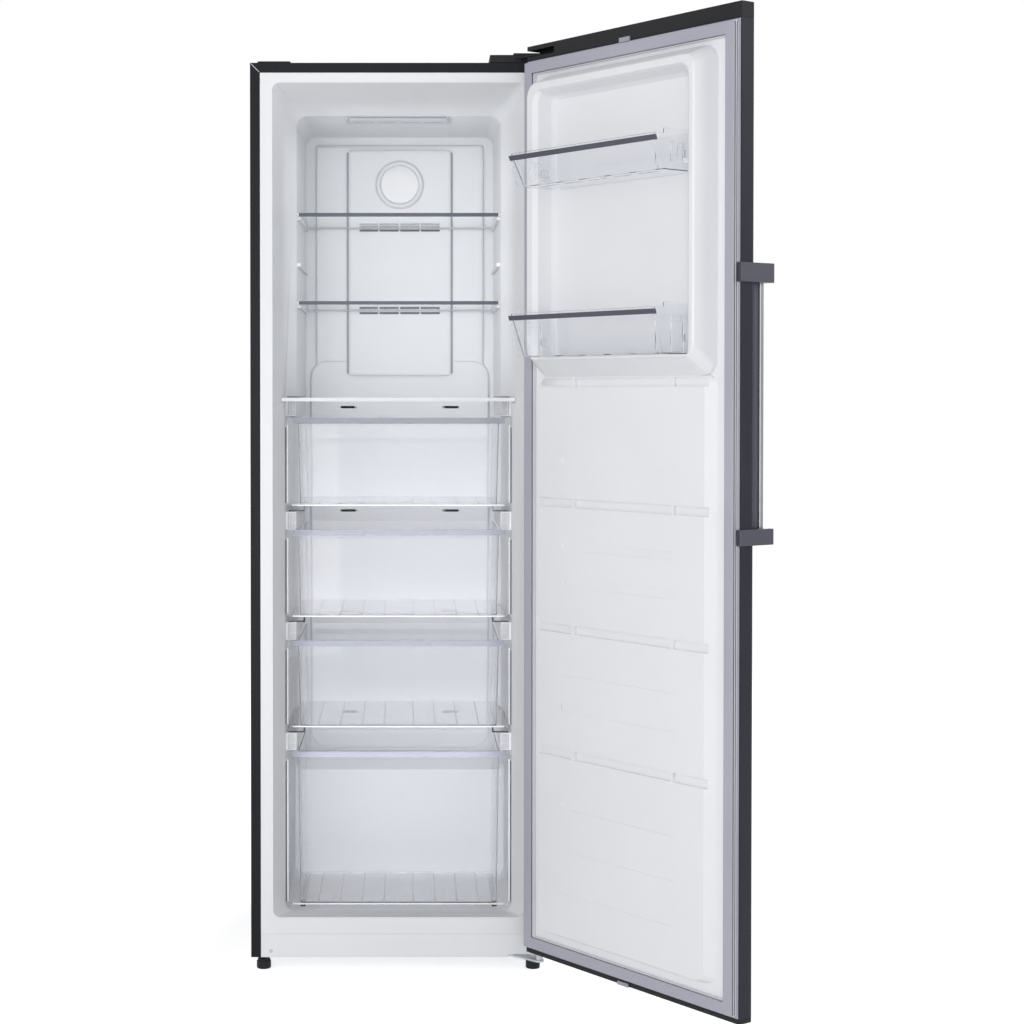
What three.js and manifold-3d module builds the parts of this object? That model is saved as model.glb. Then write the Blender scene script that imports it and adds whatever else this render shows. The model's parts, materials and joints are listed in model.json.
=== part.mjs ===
// Upright freezer with one right-hung door, standing open as it is shown in use.
// Millimetres, +Z up, +X to the right as one faces the door, the front towards -Y.
// While the pieces are built, X = 0 is the cabinet's middle, Y = 0 its front edge
// and Z = 0 the floor. The whole group is then set on the centre of its footprint.

import * as THREE from 'three';
import { mergeVertices } from 'three/addons/utils/BufferGeometryUtils.js';
import Module from 'manifold-3d';

const wasm = await Module();
wasm.setup();

// ---------------------------------------------------------------- driving sizes

const seat = 0.3;              // gap between a piece and what carries it
const steelGauge = 0.8;        // casing, back and door sheets
const linerWall = 1.4;         // thermoformed liners

// Casing
const cabinetWidth = 595;
const half = cabinetWidth / 2;
const cabinetDepth = 600;
const cabinetBottom = 26;
const cabinetTop = 1829;
const casingLip = 19.7;        // front edge of the casing, turned inwards
const rearLip = 14;

// Machine compartment under the cabinet's back
const nicheFront = cabinetDepth - 188;
const nicheTop = 285;
const foamBottom = 76;
const compressorY = cabinetDepth - 100;
const compressorX = 40;
const glandX = -105;
const glandZ = 150;

// Cabinet liner: mouth, throat behind it, and the wider drawer bay below
const mouthHalf = half - 44.5;
const mouthTop = cabinetTop - 39.5;
const mouthBottom = 107;
const mouthRadius = 14;
const frameBottom = 73.5;      // lower edge of the white frame round the mouth
const throatStart = 125;
const throatHalf = mouthHalf - 42;
const throatTop = cabinetTop - 90;
const cavityBack = cabinetDepth - 130;
const cavityBackHalf = throatHalf - 1.5;
const cavityRadius = 22;
const bayFloor = 109.2;

// Heights between the bay's floor and the throat's top are written as they are with the
// throat at its usual height, and are drawn out or in when that changes.
const usualThroat = 1739;
function level(z) {
  return bayFloor + (z - bayFloor) * (throatTop - bayFloor) / (usualThroat - bayFloor);
}

const bayStart = 45;
const bayHalf = mouthHalf - 22;
const bayBackHalf = bayHalf - 4;
const bayTop = level(1160);
const bayRadius = 20;
const ledgeRadius = 4;
const ledgeAtMouth = level(1130);  // where the drawer bay's steeper flare meets the mouth
const ledgeTop = level(1147);
const stepFront = nicheFront - 44; // step over the compressor, behind the lowest drawer
const stepTop = nicheTop + 55;
const stepRise = 25;
const recessHalf = throatHalf - 31; // evaporator recess in the back wall
const recessBottom = stepTop + 40;
const recessTop = throatTop - 27;
const recessBack = cabinetDepth - 60;

// Ribs moulded in the bay's side walls: lower and upper faces
const bayRibs = [[1120, 1152], [886, 923], [660, 696], [433.6, 468.5]].map((faces) => faces.map(level));
const ribHalf = bayHalf - 21;
const ribStart = 75;
const ribEnd = cavityBack - 30;

// Drawers, from the top: front panel's lower and upper edges
const drawerFronts = [[936, 1117], [709, 888], [483, 661.5], [119, 434]].map((edges) => edges.map(level));
const drawerFace = 62;
const drawerFrontHalf = bayHalf - 2.5;
const drawerBack = cavityBack - 58;
const lowDrawerBack = stepFront - 13;
const drawerWall = 2.2;
const tubHalfTop = ribHalf - 3.5;
const tubHalfBottom = ribHalf - 8;
const windowEdge = 16.5;       // rim round a drawer front's window
const railHeight = 12;         // grip rail along a drawer front's top
const runnerReach = bayHalf - 5; // outer edge of a drawer's runners

// Glass shelves
const glassThickness = 4;
const shelfLevels = [1533.7, 1351.2].map(level);
const spareLevel = level(1437);
const shelfHalf = throatHalf - 2.7;
const shelfFront = throatStart + 2;
const shelfBack = cavityBack - 14;
const shelfRibHalf = throatHalf - 7;
const shelfRibHeight = 7;
const shelfTrimDepth = 12;
const shelfTrimBelow = 1;      // trims reach this far under and over the glass
const shelfTrimAbove = 1.8;
const coverFront = 40;
const coverBack = cavityBack - 18;
const coverHalf = bayHalf - 11;
const coverTrimBelow = 2.6;
const coverTrimAbove = 0.9;

// Air duct covers on the back wall
const coverFaceY = cavityBack - 9;
const ductTaper = 3;           // covers narrow this much towards their faces
const upperDuctHalf = throatHalf - 23;
const upperDuctTop = throatTop - 17;
const upperDuctBottom = level(1195);
const lowerDuctHalf = throatHalf - 10;
const lowerDuctTop = level(1242);
const lowerDuctBottom = stepTop + 32;
const flowPanelHalf = 118.4;
const flowPanelTop = throatTop - 30;
const flowPanelBottom = level(1206.6);
const flowPanelThickness = 3;
const fanHeight = throatTop - 107;
const fanY = cavityBack + 18;
const medallionRadius = 53.7;
const medallionInner = 42.5;
const fanRadius = 44;

// Door
const doorGap = 14;            // gasket space between door and cabinet
const doorThickness = 34.5;
const doorBottom = 46.8;
const doorTop = cabinetTop + 25.5;
const topCapHeight = 28;
const bottomCapHeight = 7.8;
const doorCornerRadius = 8;
const doorOpening = 126;       // degrees, at the stop
const hingeInset = 15.2;       // pin's axis from the door's hinge edge
const hingeSetback = 19.9;     // pin's axis in front of the door's inner plane
const pinRadius = 4;
const pinPlay = 0.3;
const gasketInset = 7;
const gasketWidth = 21.5;
const gasketFace = 0.6;        // air left in front of the closed cabinet

// Door liner
const plugLeft = 55 - half;    // free side of the raised panel, at its foot
const plugRight = half - 46.5;
const panelLeft = 79 - half;
const panelRight = half - 50;
const panelRise = 12;
const panelTop = level(1197);
const panelBottom = 106;
const grooveHeights = [panelTop - 11, level(952.5), level(707.5), level(464)];
const grooveWidth = 17.5;
const grooveDepth = 7;
const grooveRibs = [[137.5, 147.5], [-139, -131.5]];
const ridgeHeights = [1104, 1033, 869, 798, 626, 555, 364, 282, 198].map(level);
const ridgeHalf = half - 134.5;
const ridgeWidth = 17;
const ridgeDepth = 0.9;
const dykeRise = 52;           // how far the bin frame stands off the door's plane
const dykeLeft = 67 - half;    // crest of the bin frame, outside
const dykeRight = half - 60;
const dykeTop = cabinetTop - 61;
const dykeFootTop = cabinetTop - 43;
const pocketHalf = half - 88.5;    // bin frame, inside
const pocketLip = 10;          // round from the pocket's wall to the crest
const pocketBackHalf = pocketHalf - 8;
const pocketTop = dykeTop - 14;
const pocketFloor = level(1235);
const pocketRise = 8;
const dykeBottom = pocketFloor - 4;

// Door bins: lowest point, front edge, side edge
const doorBins = [
  [level(1562), level(1625), level(1634)],
  [pocketFloor + seat, level(1318.4), level(1327)],
];
const binBack = pocketRise + 1.2 - doorGap;
const binHalf = pocketHalf - 3;
const binTaper = 7;            // each side draws in this much from front to back
const binDraft = 8;            // and this much from top to bottom
const binFront = 106;
const binLean = 26;            // front wall, from its top edge to the bottom
const binWall = 2;
const cheekLean = 11;          // front edge of the cheeks beyond the leaning wall
const cheekThickness = 2.5;
const binTrimDrop = 4;         // trim's top under the front's top edge
const binTrimHeight = 9;
const binTrimThickness = 3;
const lugHeight = 22;          // bin's lugs above its bottom
const lugY = [26 - doorGap, 44 - doorGap];

// Handle
const handleBarRadius = 5.7;
const handleBarInset = 19.8;   // bar's axis from the door's free edge
const handleBarReach = 33.5;   // bar's axis from the door's front face
const handleReach = 46.5;
const handleSpan = [[level(1361.5), level(1361.5) + 34.5], [level(895), level(895) + 29]];
const handleSocket = 8;        // solid plastic beyond each end of the bar
const handlePlate = 3;

// Feet and rollers
const footX = half - 24.5;
const footY = 19;
const footRadius = 14.5;
const footHeight = 20;
const rollerX = half - 35.5;
const rollerY = cabinetDepth - 40;
const rollerRadius = 16;
const rollerWidth = 16;
const axleRadius = 4;

// ---------------------------------------------------------------- worked out

const doorPlane = -doorGap;                    // the door's inner plane, when closed
const doorFace = -doorGap - doorThickness;
const hingeX = half - hingeInset;
const hingeY = doorPlane - hingeSetback;
const skinBottom = doorBottom + bottomCapHeight;
const skinTop = doorTop - topCapHeight;

// ---------------------------------------------------------------- shape tools

const cornerSteps = 4;

function signedVolume(position, index) {
  let volume = 0;
  for (let i = 0; i < index.length; i += 3) {
    const [a, b, c] = [index[i] * 3, index[i + 1] * 3, index[i + 2] * 3];
    volume += position[a] * (position[b + 1] * position[c + 2] - position[b + 2] * position[c + 1])
      + position[a + 1] * (position[b + 2] * position[c] - position[b] * position[c + 2])
      + position[a + 2] * (position[b] * position[c + 1] - position[b + 1] * position[c]);
  }
  return volume;
}

// Makes a closed geometry a solid that can be cut and joined, its faces outwards.
function solid(geometry) {
  const bare = geometry.clone();
  bare.deleteAttribute('normal');
  bare.deleteAttribute('uv');
  const merged = mergeVertices(bare, 1e-4);
  const position = new Float32Array(merged.attributes.position.array);
  const index = [];
  for (let i = 0; i < merged.index.count; i += 3) {
    const [a, b, c] = [0, 1, 2].map((k) => merged.index.array[i + k]);
    if (a !== b && b !== c && c !== a) index.push(a, b, c);
  }
  if (signedVolume(position, index) < 0) index.reverse();
  return new wasm.Manifold(new wasm.Mesh({
    numProp: 3,
    vertProperties: position,
    triVerts: new Uint32Array(index),
  }));
}

// A point given across and along one axis.
function place(axis, a, b, along) {
  if (axis === 'x') return [along, a, b];
  if (axis === 'y') return [a, along, b];
  return [a, b, along];
}

function box(x0, x1, y0, y1, z0, z1) {
  const block = new THREE.BoxGeometry(Math.abs(x1 - x0), Math.abs(y1 - y0), Math.abs(z1 - z0));
  block.translate((x0 + x1) / 2, (y0 + y1) / 2, (z0 + z1) / 2);
  return solid(block);
}

// A rounded rectangle in the plane square to an axis, its lower corners tighter if asked.
function ring(axis, along, a0, a1, b0, b1, radius, lowRadius = radius) {
  const corners = [[a1, b0, lowRadius, -90], [a1, b1, radius, 0], [a0, b1, radius, 90], [a0, b0, lowRadius, 180]];
  const points = [];
  for (const [a, b, r, start] of corners) {
    const centreA = a === a1 ? a - r : a + r;
    const centreB = b === b1 ? b - r : b + r;
    for (let step = 0; step <= cornerSteps; step++) {
      const angle = THREE.MathUtils.degToRad(start + 90 * step / cornerSteps);
      points.push(place(axis, centreA + r * Math.cos(angle), centreB + r * Math.sin(angle), along));
    }
  }
  return points;
}

// A solid through a row of rings, closed at both ends.
function loft(rings) {
  const count = rings[0].length;
  const index = [];
  for (let row = 0; row + 1 < rings.length; row++) {
    for (let i = 0; i < count; i++) {
      const a = row * count + i;
      const b = row * count + (i + 1) % count;
      index.push(a, b, b + count, a, b + count, a + count);
    }
  }
  const last = (rings.length - 1) * count;
  for (let i = 1; i + 1 < count; i++) {
    index.push(0, i + 1, i);
    index.push(last, last + i, last + i + 1);
  }
  const geometry = new THREE.BufferGeometry();
  geometry.setAttribute('position', new THREE.Float32BufferAttribute(rings.flat(2), 3));
  geometry.setIndex(index);
  return solid(geometry);
}

// An outline drawn square to an axis and pushed along it.
function prism(outline, axis, from, to, holes = []) {
  const shape = new THREE.Shape(outline.map(([a, b]) => new THREE.Vector2(a, b)));
  for (const hole of holes) {
    shape.holes.push(new THREE.Path(hole.map(([a, b]) => new THREE.Vector2(a, b))));
  }
  const geometry = new THREE.ExtrudeGeometry(shape, { depth: to - from, bevelEnabled: false });
  const position = geometry.attributes.position;
  for (let i = 0; i < position.count; i++) {
    const [a, b, t] = [position.getX(i), position.getY(i), position.getZ(i)];
    position.setXYZ(i, ...place(axis, a, b, from + t));
  }
  return solid(geometry);
}

function circle(a, b, radius, steps = 16) {
  return Array.from({ length: steps }, (_, i) => {
    const angle = 2 * Math.PI * i / steps;
    return [a + radius * Math.cos(angle), b + radius * Math.sin(angle)];
  });
}

function rod(axis, a, b, radius, from, to, steps = 16) {
  return prism(circle(a, b, radius, steps), axis, from, to);
}

// A long slot with round ends, across the first of the two directions.
function capsule(a0, a1, b, width, steps = 2) {
  const radius = width / 2;
  const points = [];
  for (const [centre, start] of [[a1 - radius, -90], [a0 + radius, 90]]) {
    for (let step = 0; step <= steps; step++) {
      const angle = THREE.MathUtils.degToRad(start + 180 * step / steps);
      points.push([centre + radius * Math.cos(angle), b + radius * Math.sin(angle)]);
    }
  }
  return points;
}

// A turned piece: [radius, height] points from the axis and back to it.
function turned(profile, x, y, z, steps = 16) {
  const geometry = new THREE.LatheGeometry(profile.map(([r, h]) => new THREE.Vector2(r, h)), steps);
  geometry.rotateX(Math.PI / 2);
  geometry.translate(x, y, z);
  return solid(geometry);
}

// A closed frame: a profile of [inset, y] points carried round an upright rectangle.
function frameSweep(x0, x1, z0, z1, profile) {
  const corners = [[x0, z0, 1, 1], [x1, z0, -1, 1], [x1, z1, -1, -1], [x0, z1, 1, -1]];
  const points = corners.flatMap(([x, z, inX, inZ]) =>
    profile.map(([inset, y]) => [x + inset * inX, y, z + inset * inZ]));
  const count = profile.length;
  const index = [];
  for (let corner = 0; corner < 4; corner++) {
    for (let i = 0; i < count; i++) {
      const a = corner * count + i;
      const b = corner * count + (i + 1) % count;
      const c = ((corner + 1) % 4) * count + (i + 1) % count;
      const d = ((corner + 1) % 4) * count + i;
      index.push(a, b, c, a, c, d);
    }
  }
  const geometry = new THREE.BufferGeometry();
  geometry.setAttribute('position', new THREE.Float32BufferAttribute(points.flat(), 3));
  geometry.setIndex(index);
  return solid(geometry);
}

function joined(pieces) {
  return pieces.reduce((sum, piece) => sum.add(piece));
}

// ---------------------------------------------------------------- materials

function finish(color, roughness, metalness = 0, opacity = 1) {
  return new THREE.MeshStandardMaterial({
    color, roughness, metalness, opacity, transparent: opacity < 1,
  });
}

const charcoalSteel = finish(0x35373d, 0.42, 0.55);
const blackPlastic = finish(0x1f2125, 0.5);
const whitePlastic = finish(0xeceef1, 0.38);
const greyTrim = finish(0x6c6d7b, 0.35);
const gasketRubber = finish(0xa4a6b6, 0.6);
const clearPlastic = finish(0xe6eaf0, 0.12, 0, 0.35);
const shelfGlass = finish(0xdde8ea, 0.05, 0, 0.3);
const brushedSteel = finish(0xb4b6bd, 0.3, 1);
const zincSteel = finish(0x9aa0a6, 0.4, 0.9);
const foam = finish(0xe9dfb8, 0.95);
const aluminium = finish(0xc6c9cc, 0.35, 0.9);
const compressorPaint = finish(0x16171a, 0.45, 0.3);
const blackRubber = finish(0x18191b, 0.8);

// ---------------------------------------------------------------- cabinet liner

// The ribs that carry the drawers' runners and the glass, thinner by `shrink` all round.
function wallRibs(shrink) {
  const ribs = [];
  const outside = bayHalf + 20;
  for (const side of [-1, 1]) {
    for (const [low, high] of bayRibs) {
      ribs.push(box(side * (ribHalf + shrink), side * outside,
        ribStart + shrink, ribEnd - shrink, low + shrink, high - shrink));
    }
    for (const level of [...shelfLevels, spareLevel]) {
      ribs.push(box(side * (shelfRibHalf + shrink), side * outside,
        shelfFront + shelfTrimDepth + 2 + shrink, shelfBack - shelfTrimDepth - 2 - shrink,
        level - shelfRibHeight + shrink, level - shrink));
    }
  }
  return joined(ribs);
}

// The cold space inside the liner, larger by `grow` on every wall.
function cavity(grow) {
  const across = (y, halfWidth, low, high, radius, lowRadius) =>
    ring('y', y, -halfWidth - grow, halfWidth + grow, low - grow, high + grow, radius + grow, lowRadius + grow);
  const ahead = -5;
  const share = bayStart / throatStart;
  const upper = loft([
    across(ahead, mouthHalf, ledgeAtMouth, mouthTop, mouthRadius, ledgeRadius),
    across(0, mouthHalf, ledgeAtMouth, mouthTop, mouthRadius, ledgeRadius),
    across(bayStart, mouthHalf + (throatHalf - mouthHalf) * share, ledgeTop,
      mouthTop + (throatTop - mouthTop) * share, mouthRadius + (cavityRadius - mouthRadius) * share, ledgeRadius),
    across(throatStart, throatHalf, ledgeTop, throatTop, cavityRadius, ledgeRadius),
    across(cavityBack + grow, cavityBackHalf, ledgeTop, throatTop, cavityRadius, ledgeRadius),
  ]);
  const bay = loft([
    across(ahead, mouthHalf, mouthBottom, ledgeAtMouth + 20, ledgeRadius, mouthRadius),
    across(0, mouthHalf, mouthBottom, ledgeAtMouth + 20, ledgeRadius, mouthRadius),
    across(bayStart, bayHalf, bayFloor, bayTop, ledgeRadius, bayRadius),
    across(stepFront + grow, bayHalf - 3, bayFloor, bayTop, ledgeRadius, bayRadius),
  ]);
  const bayOverStep = loft([
    across(stepFront - 60, bayHalf - 2.6, stepTop - stepRise / 2, bayTop, ledgeRadius, mouthRadius),
    across(stepFront, bayHalf - 3, stepTop, bayTop, ledgeRadius, mouthRadius),
    across(cavityBack + grow, bayBackHalf, stepTop + stepRise, bayTop, ledgeRadius, mouthRadius),
  ]);
  const recess = loft([
    across(cavityBack - 10, recessHalf, recessBottom, recessTop, mouthRadius, mouthRadius),
    across(recessBack + grow, recessHalf - 4, recessBottom + 4, recessTop - 4, mouthRadius, mouthRadius),
  ]);
  return joined([upper, bay, bayOverStep, recess]).subtract(wallRibs(grow));
}

function innerLiner() {
  const lipInner = half - casingLip - seat;
  const flange = box(-lipInner, lipInner, 0, linerWall, frameBottom, cabinetTop - casingLip - seat);
  const inFront = box(-cabinetWidth, cabinetWidth, -20, 0, 0, cabinetTop + 20);
  return cavity(linerWall).add(flange).subtract(cavity(0)).subtract(inFront);
}

// ---------------------------------------------------------------- casing and foam

// A sheet bent in an upside-down U, `inset` from the casing's outline and `width` wide.
function portal(inset, width, y0, y1) {
  const x = half - inset;
  const top = cabinetTop - inset;
  return prism([[-x, cabinetBottom], [-x, top], [x, top], [x, cabinetBottom],
    [x - width, cabinetBottom], [x - width, top - width], [-x + width, top - width],
    [-x + width, cabinetBottom]], 'y', y0, y1);
}

function outerWrapper() {
  return portal(0, steelGauge, 0, cabinetDepth)
    .add(portal(0, casingLip, 0, steelGauge))
    .add(portal(0, rearLip, cabinetDepth - steelGauge, cabinetDepth));
}

const sheetBack = cabinetDepth - steelGauge - seat;      // back sheets' outer face
const sheetHalf = half - steelGauge - seat;

function backPanel() {
  return box(-sheetHalf, sheetHalf, sheetBack - steelGauge, sheetBack,
    nicheTop + steelGauge + seat, cabinetTop - steelGauge - seat);
}

function insulation() {
  const block = box(-sheetHalf, sheetHalf, linerWall + seat, sheetBack - steelGauge - seat,
    foamBottom, cabinetTop - steelGauge - seat);
  const niche = box(-cabinetWidth, cabinetWidth, nicheFront - steelGauge - 2 * seat, cabinetDepth + 10,
    0, nicheTop + steelGauge);
  return block.subtract(cavity(linerWall + seat)).subtract(niche);
}

function compressorStep() {
  const outline = [[nicheFront - steelGauge - seat, cabinetBottom + 8],
    [nicheFront - seat, cabinetBottom + 8], [nicheFront - seat, nicheTop - seat],
    [sheetBack - steelGauge - seat, nicheTop - seat],
    [sheetBack - steelGauge - seat, nicheTop + steelGauge - seat],
    [nicheFront - steelGauge - seat, nicheTop + steelGauge - seat]];
  return prism(outline, 'x', -sheetHalf + seat, sheetHalf - seat);
}

// ---------------------------------------------------------------- base

const baseFront = 5.6;
const baseGauge = 1.5;
const bossHeight = 18;

function baseFrame() {
  const floorTop = cabinetBottom + baseGauge;
  const wide = sheetHalf - seat;
  const pan = box(-wide, wide, baseFront, sheetBack - steelGauge - 3, cabinetBottom, floorTop);
  const lips = [box(-wide, wide, baseFront, baseFront + baseGauge, cabinetBottom, foamBottom - 4)];
  for (const side of [-1, 1]) {
    lips.push(box(side * (wide - baseGauge), side * wide, baseFront, nicheFront - 4,
      cabinetBottom, foamBottom - 4));
    lips.push(rod('z', side * footX, footY, 9, cabinetBottom, floorTop + bossHeight));
  }
  const holes = [];
  for (const side of [-1, 1]) {
    holes.push(rod('z', side * footX, footY, 5 + seat, cabinetBottom - 5, floorTop + bossHeight + 5));
    holes.push(box(side * (rollerX - rollerWidth / 2 - 3), side * (rollerX + rollerWidth / 2 + 3),
      rollerY - rollerRadius - 2, rollerY + rollerRadius + 2, cabinetBottom - 5, floorTop + 5));
  }
  return pan.add(joined(lips)).subtract(joined(holes));
}

function frontFoot() {
  return turned([[0, 0], [footRadius - 1.5, 0], [footRadius, 1.5], [footRadius, footHeight - 5],
    [footRadius - 2, footHeight - 3], [footRadius - 2, footHeight], [5, footHeight],
    [5, cabinetBottom + baseGauge + bossHeight + 6], [0, cabinetBottom + baseGauge + bossHeight + 6]], 0, 0, 0);
}

// A wheel that turns about X, its middle at the origin.
function roller() {
  const rim = rod('x', 0, 0, rollerRadius, -rollerWidth / 2, rollerWidth / 2, 24);
  const dish = rod('x', 0, 0, rollerRadius - 4, rollerWidth / 2 - 3, rollerWidth, 16);
  const dishBack = rod('x', 0, 0, rollerRadius - 4, -rollerWidth, 3 - rollerWidth / 2, 16);
  const hub = rod('x', 0, 0, axleRadius + 3.5, -rollerWidth / 2, rollerWidth / 2, 12);
  const bore = rod('x', 0, 0, axleRadius + seat, -rollerWidth, rollerWidth, 12);
  return rim.subtract(dish).subtract(dishBack).add(hub).subtract(bore);
}

// Fork and pin of a roller, standing on the base pan and reaching down through it.
function rollerAxle() {
  const ear = rollerWidth / 2 + 0.8;
  const top = cabinetBottom + baseGauge + seat - rollerRadius;
  const bridge = box(-ear - 6, ear + 6, rollerRadius + 2.5, rollerRadius + 14, top, top + 2)
    .add(box(-ear - 6, ear + 6, -rollerRadius - 14, -rollerRadius - 2.5, top, top + 2));
  const fork = [-1, 1].map((side) => box(side * ear, side * (ear + 1.6), -rollerRadius - 14,
    rollerRadius + 14, top, top + 8).add(box(side * ear, side * (ear + 1.6), -7, 7, -7, top + 8)));
  return bridge.add(joined(fork)).add(rod('x', 0, 0, axleRadius, -ear - 1.2, ear + 1.2, 12));
}

function toePanel() {
  const wide = half - casingLip - seat;
  const top = frameBottom - seat;
  const plate = box(-wide, wide, 0, 2, cabinetBottom, top).add(box(-wide, wide, 0, 5, top - 2, top));
  const bracketSlot = box(half - 75.5, cabinetWidth, -5, 10, cabinetBottom - 5, cabinetBottom + 5.4);
  return plate.subtract(bracketSlot);
}

// ---------------------------------------------------------------- hinges

const tongueRadius = 10;
const tongueRoot = [half - 69.5, half - 35.5];
const bracketGauge = 3.2;

// Tongue that runs slantwise from the cabinet's front to the pin.
function hingeTongue(z0, z1) {
  const tip = [];
  for (let step = 0; step <= 8; step++) {
    const angle = THREE.MathUtils.degToRad(220 + 180 * step / 8);
    tip.push([hingeX + tongueRadius * Math.cos(angle), hingeY + tongueRadius * Math.sin(angle)]);
  }
  return prism([...tip, [tongueRoot[1], 4], [tongueRoot[0], 4]], 'z', z0, z1);
}

function bottomHingeBracket() {
  const z0 = cabinetBottom + 1;
  const z1 = z0 + 4;
  const [left, right] = tongueRoot;
  const lug = box(left, right, 2.3, 5.3, z0, z0 + 40);
  const washer = rod('z', hingeX, hingeY, 7.5, z1, doorBottom - seat);
  return hingeTongue(z0, z1).add(lug).add(washer).add(rod('z', hingeX, hingeY, pinRadius, z1, doorBottom + 16));
}

function topHingeBracket() {
  const base = cabinetTop + seat;
  const tongue = base + 6.7;
  const top = tongue + bracketGauge;
  return box(half - 101.5, half - 7.5, 4, 80, base, base + bracketGauge)
    .add(box(tongueRoot[0], tongueRoot[1], 4, 4 + bracketGauge, base, top))
    .add(hingeTongue(tongue, top))
    .add(rod('z', hingeX, hingeY, pinRadius, skinTop - 18, top));
}

function topHingeCover() {
  const base = cabinetTop + seat;
  const [left, right, front, back, height] = [half - 113.5, half - 0.5, -1, 92, 19];
  const wall = 3;
  const outside = loft([
    ring('z', base, left, right, front, back, 5),
    ring('z', base + height - 3, left + 1, right - 1, front + 1, back - 1, 5),
    ring('z', base + height, left + 4, right - 4, front + 4, back - 4, 4)]);
  const inside = box(left + wall, right - wall, front + wall, back - wall, base - 5, base + height - 2.5);
  const mouth = box(tongueRoot[0] - 6, tongueRoot[1] + 18, -5, 5, base - 5, base + 12.5);
  return outside.subtract(inside).subtract(mouth);
}

function blankHingeCap() {
  const base = cabinetTop + seat;
  const [left, right, front, back] = [13.5 - half, 82.5 - half, 2, 62];
  return loft([
    ring('z', base, left, right, front, back, 4),
    ring('z', base + 3.4, left + 2, right - 2, front + 2, back - 2, 4)]);
}

// ---------------------------------------------------------------- machine compartment

const coverThickness = 1.3;
const glandRadius = 6;

function compressor() {
  const [radiusX, radiusY, middleZ] = [92, 66, 122];
  const shell = new THREE.LatheGeometry([[0, -78], [0.6, -75], [0.9, -60], [1, -10], [1.05, -8],
    [1.05, -2], [1, 0], [0.97, 36], [0.82, 58], [0.45, 71], [0, 74]].map(([r, h]) => new THREE.Vector2(r, h)), 16);
  shell.rotateX(Math.PI / 2);
  shell.scale(radiusX, radiusY, 1);
  shell.translate(compressorX, compressorY, middleZ);
  const [reachX, reachY, plateBottom] = [100, 48, 46];
  const base = box(compressorX - reachX, compressorX + reachX, compressorY - reachY, compressorY + reachY,
    plateBottom, plateBottom + 3);
  const feet = [-1, 1].flatMap((x) => [-1, 1].map((y) => rod('z', compressorX + x * (reachX - 10),
    compressorY + y * (reachY - 10), 10, cabinetBottom + baseGauge + seat, plateBottom + 4, 12)));
  const terminalX = compressorX + radiusX;
  const neck = box(terminalX - 32, terminalX + 2, compressorY - 15, compressorY + 15, middleZ - 22, middleZ + 18);
  const terminals = box(terminalX - 2, terminalX + 26, compressorY - 28, compressorY + 28,
    middleZ - 32, middleZ + 28);
  return solid(shell).add(base).add(joined(feet)).add(neck).add(terminals);
}

function dripTray() {
  const [bottom, top] = [206, 236];
  const tray = (z, reachX, reachY, radius) => ring('z', z, compressorX - reachX, compressorX + reachX,
    compressorY - reachY, compressorY + reachY, radius);
  const outside = loft([tray(bottom, 92, 60, 12), tray(top, 100, 68, 16)]);
  const inside = loft([tray(bottom + 2, 90, 58, 10), tray(top + 4, 99, 67, 15)]);
  const tabs = [-1, 1].map((side) => {
    const x = compressorX + side * 80;
    return box(x - 6, x + 6, compressorY + 66, sheetBack - coverThickness - seat, top - 6, top - 3);
  });
  return outside.subtract(inside).add(joined(tabs));
}

function machineCover() {
  const sheet = box(-sheetHalf, sheetHalf, sheetBack - coverThickness, sheetBack, cabinetBottom + 3, nicheTop - 3);
  const [pitch, slotLow, slotHigh] = [35, 95, 220];
  const slots = [];
  for (let column = -5; column <= 5; column++) {
    if (column * pitch === glandX) continue;
    const middle = column * pitch;
    slots.push(box(middle - 3.5, middle + 3.5, sheetBack - 5, sheetBack + 5, slotLow, slotHigh));
  }
  return sheet.subtract(joined(slots))
    .subtract(rod('y', glandX, glandZ, glandRadius + seat, sheetBack - 5, sheetBack + 5));
}

function cableGland() {
  const collar = rod('y', glandX, glandZ, glandRadius + 3, sheetBack + seat, sheetBack + 4);
  return collar.add(rod('y', glandX, glandZ, glandRadius, sheetBack - 8, sheetBack + 1))
    .subtract(rod('y', glandX, glandZ, glandRadius - 2.4, sheetBack - 20, sheetBack + 20));
}

// ---------------------------------------------------------------- air system

function evaporator() {
  const [front, back] = [cavityBack + 12, recessBack - seat];
  const [low, high] = [level(712), level(1452)];
  const finHalf = recessHalf - 14;
  const finCount = 7;
  const fins = [];
  for (let row = 0; row < finCount; row++) {
    const z = low + 8 + row * (high - low - 19) / (finCount - 1);
    fins.push(box(-finHalf, finHalf, front, back - 6, z, z + 3));
  }
  const ends = [-1, 1].map((side) => box(side * finHalf, side * (finHalf + 3), front, back, low, high));
  const tubes = [-100, 0, 100].map((x) => rod('z', x, (front + back) / 2, 4.5, low - 7, high + 6, 6));
  return joined([...fins, ...ends, ...tubes]);
}

const shaftRadius = 2.5;

function fanMotor() {
  const front = fanY + 12;
  const back = recessBack - seat;
  return rod('y', 0, fanHeight, 21, front, front + 24)
    .add(rod('y', 0, fanHeight, 12, front + 23, back))
    .add(box(-70, 70, recessBack - 6, back, fanHeight - 12, fanHeight + 12))
    .add(rod('y', 0, fanHeight, shaftRadius, fanY - 10, front + 1, 16));
}

// Axial fan about Y, its middle at the origin.
function fanImpeller() {
  const blades = [];
  const bladeCount = 5;
  for (let i = 0; i < bladeCount; i++) {
    const blade = new THREE.BoxGeometry(fanRadius - 12, 1.6, 24);
    blade.rotateX(THREE.MathUtils.degToRad(32));
    blade.translate(12 + (fanRadius - 12) / 2 - 2, 0, 0);
    blade.rotateY(2 * Math.PI * i / bladeCount);
    blades.push(solid(blade));
  }
  return rod('y', 0, 0, 13, -8, 8).add(joined(blades))
    .subtract(rod('y', 0, 0, shaftRadius + seat, -20, 20, 16));
}

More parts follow.
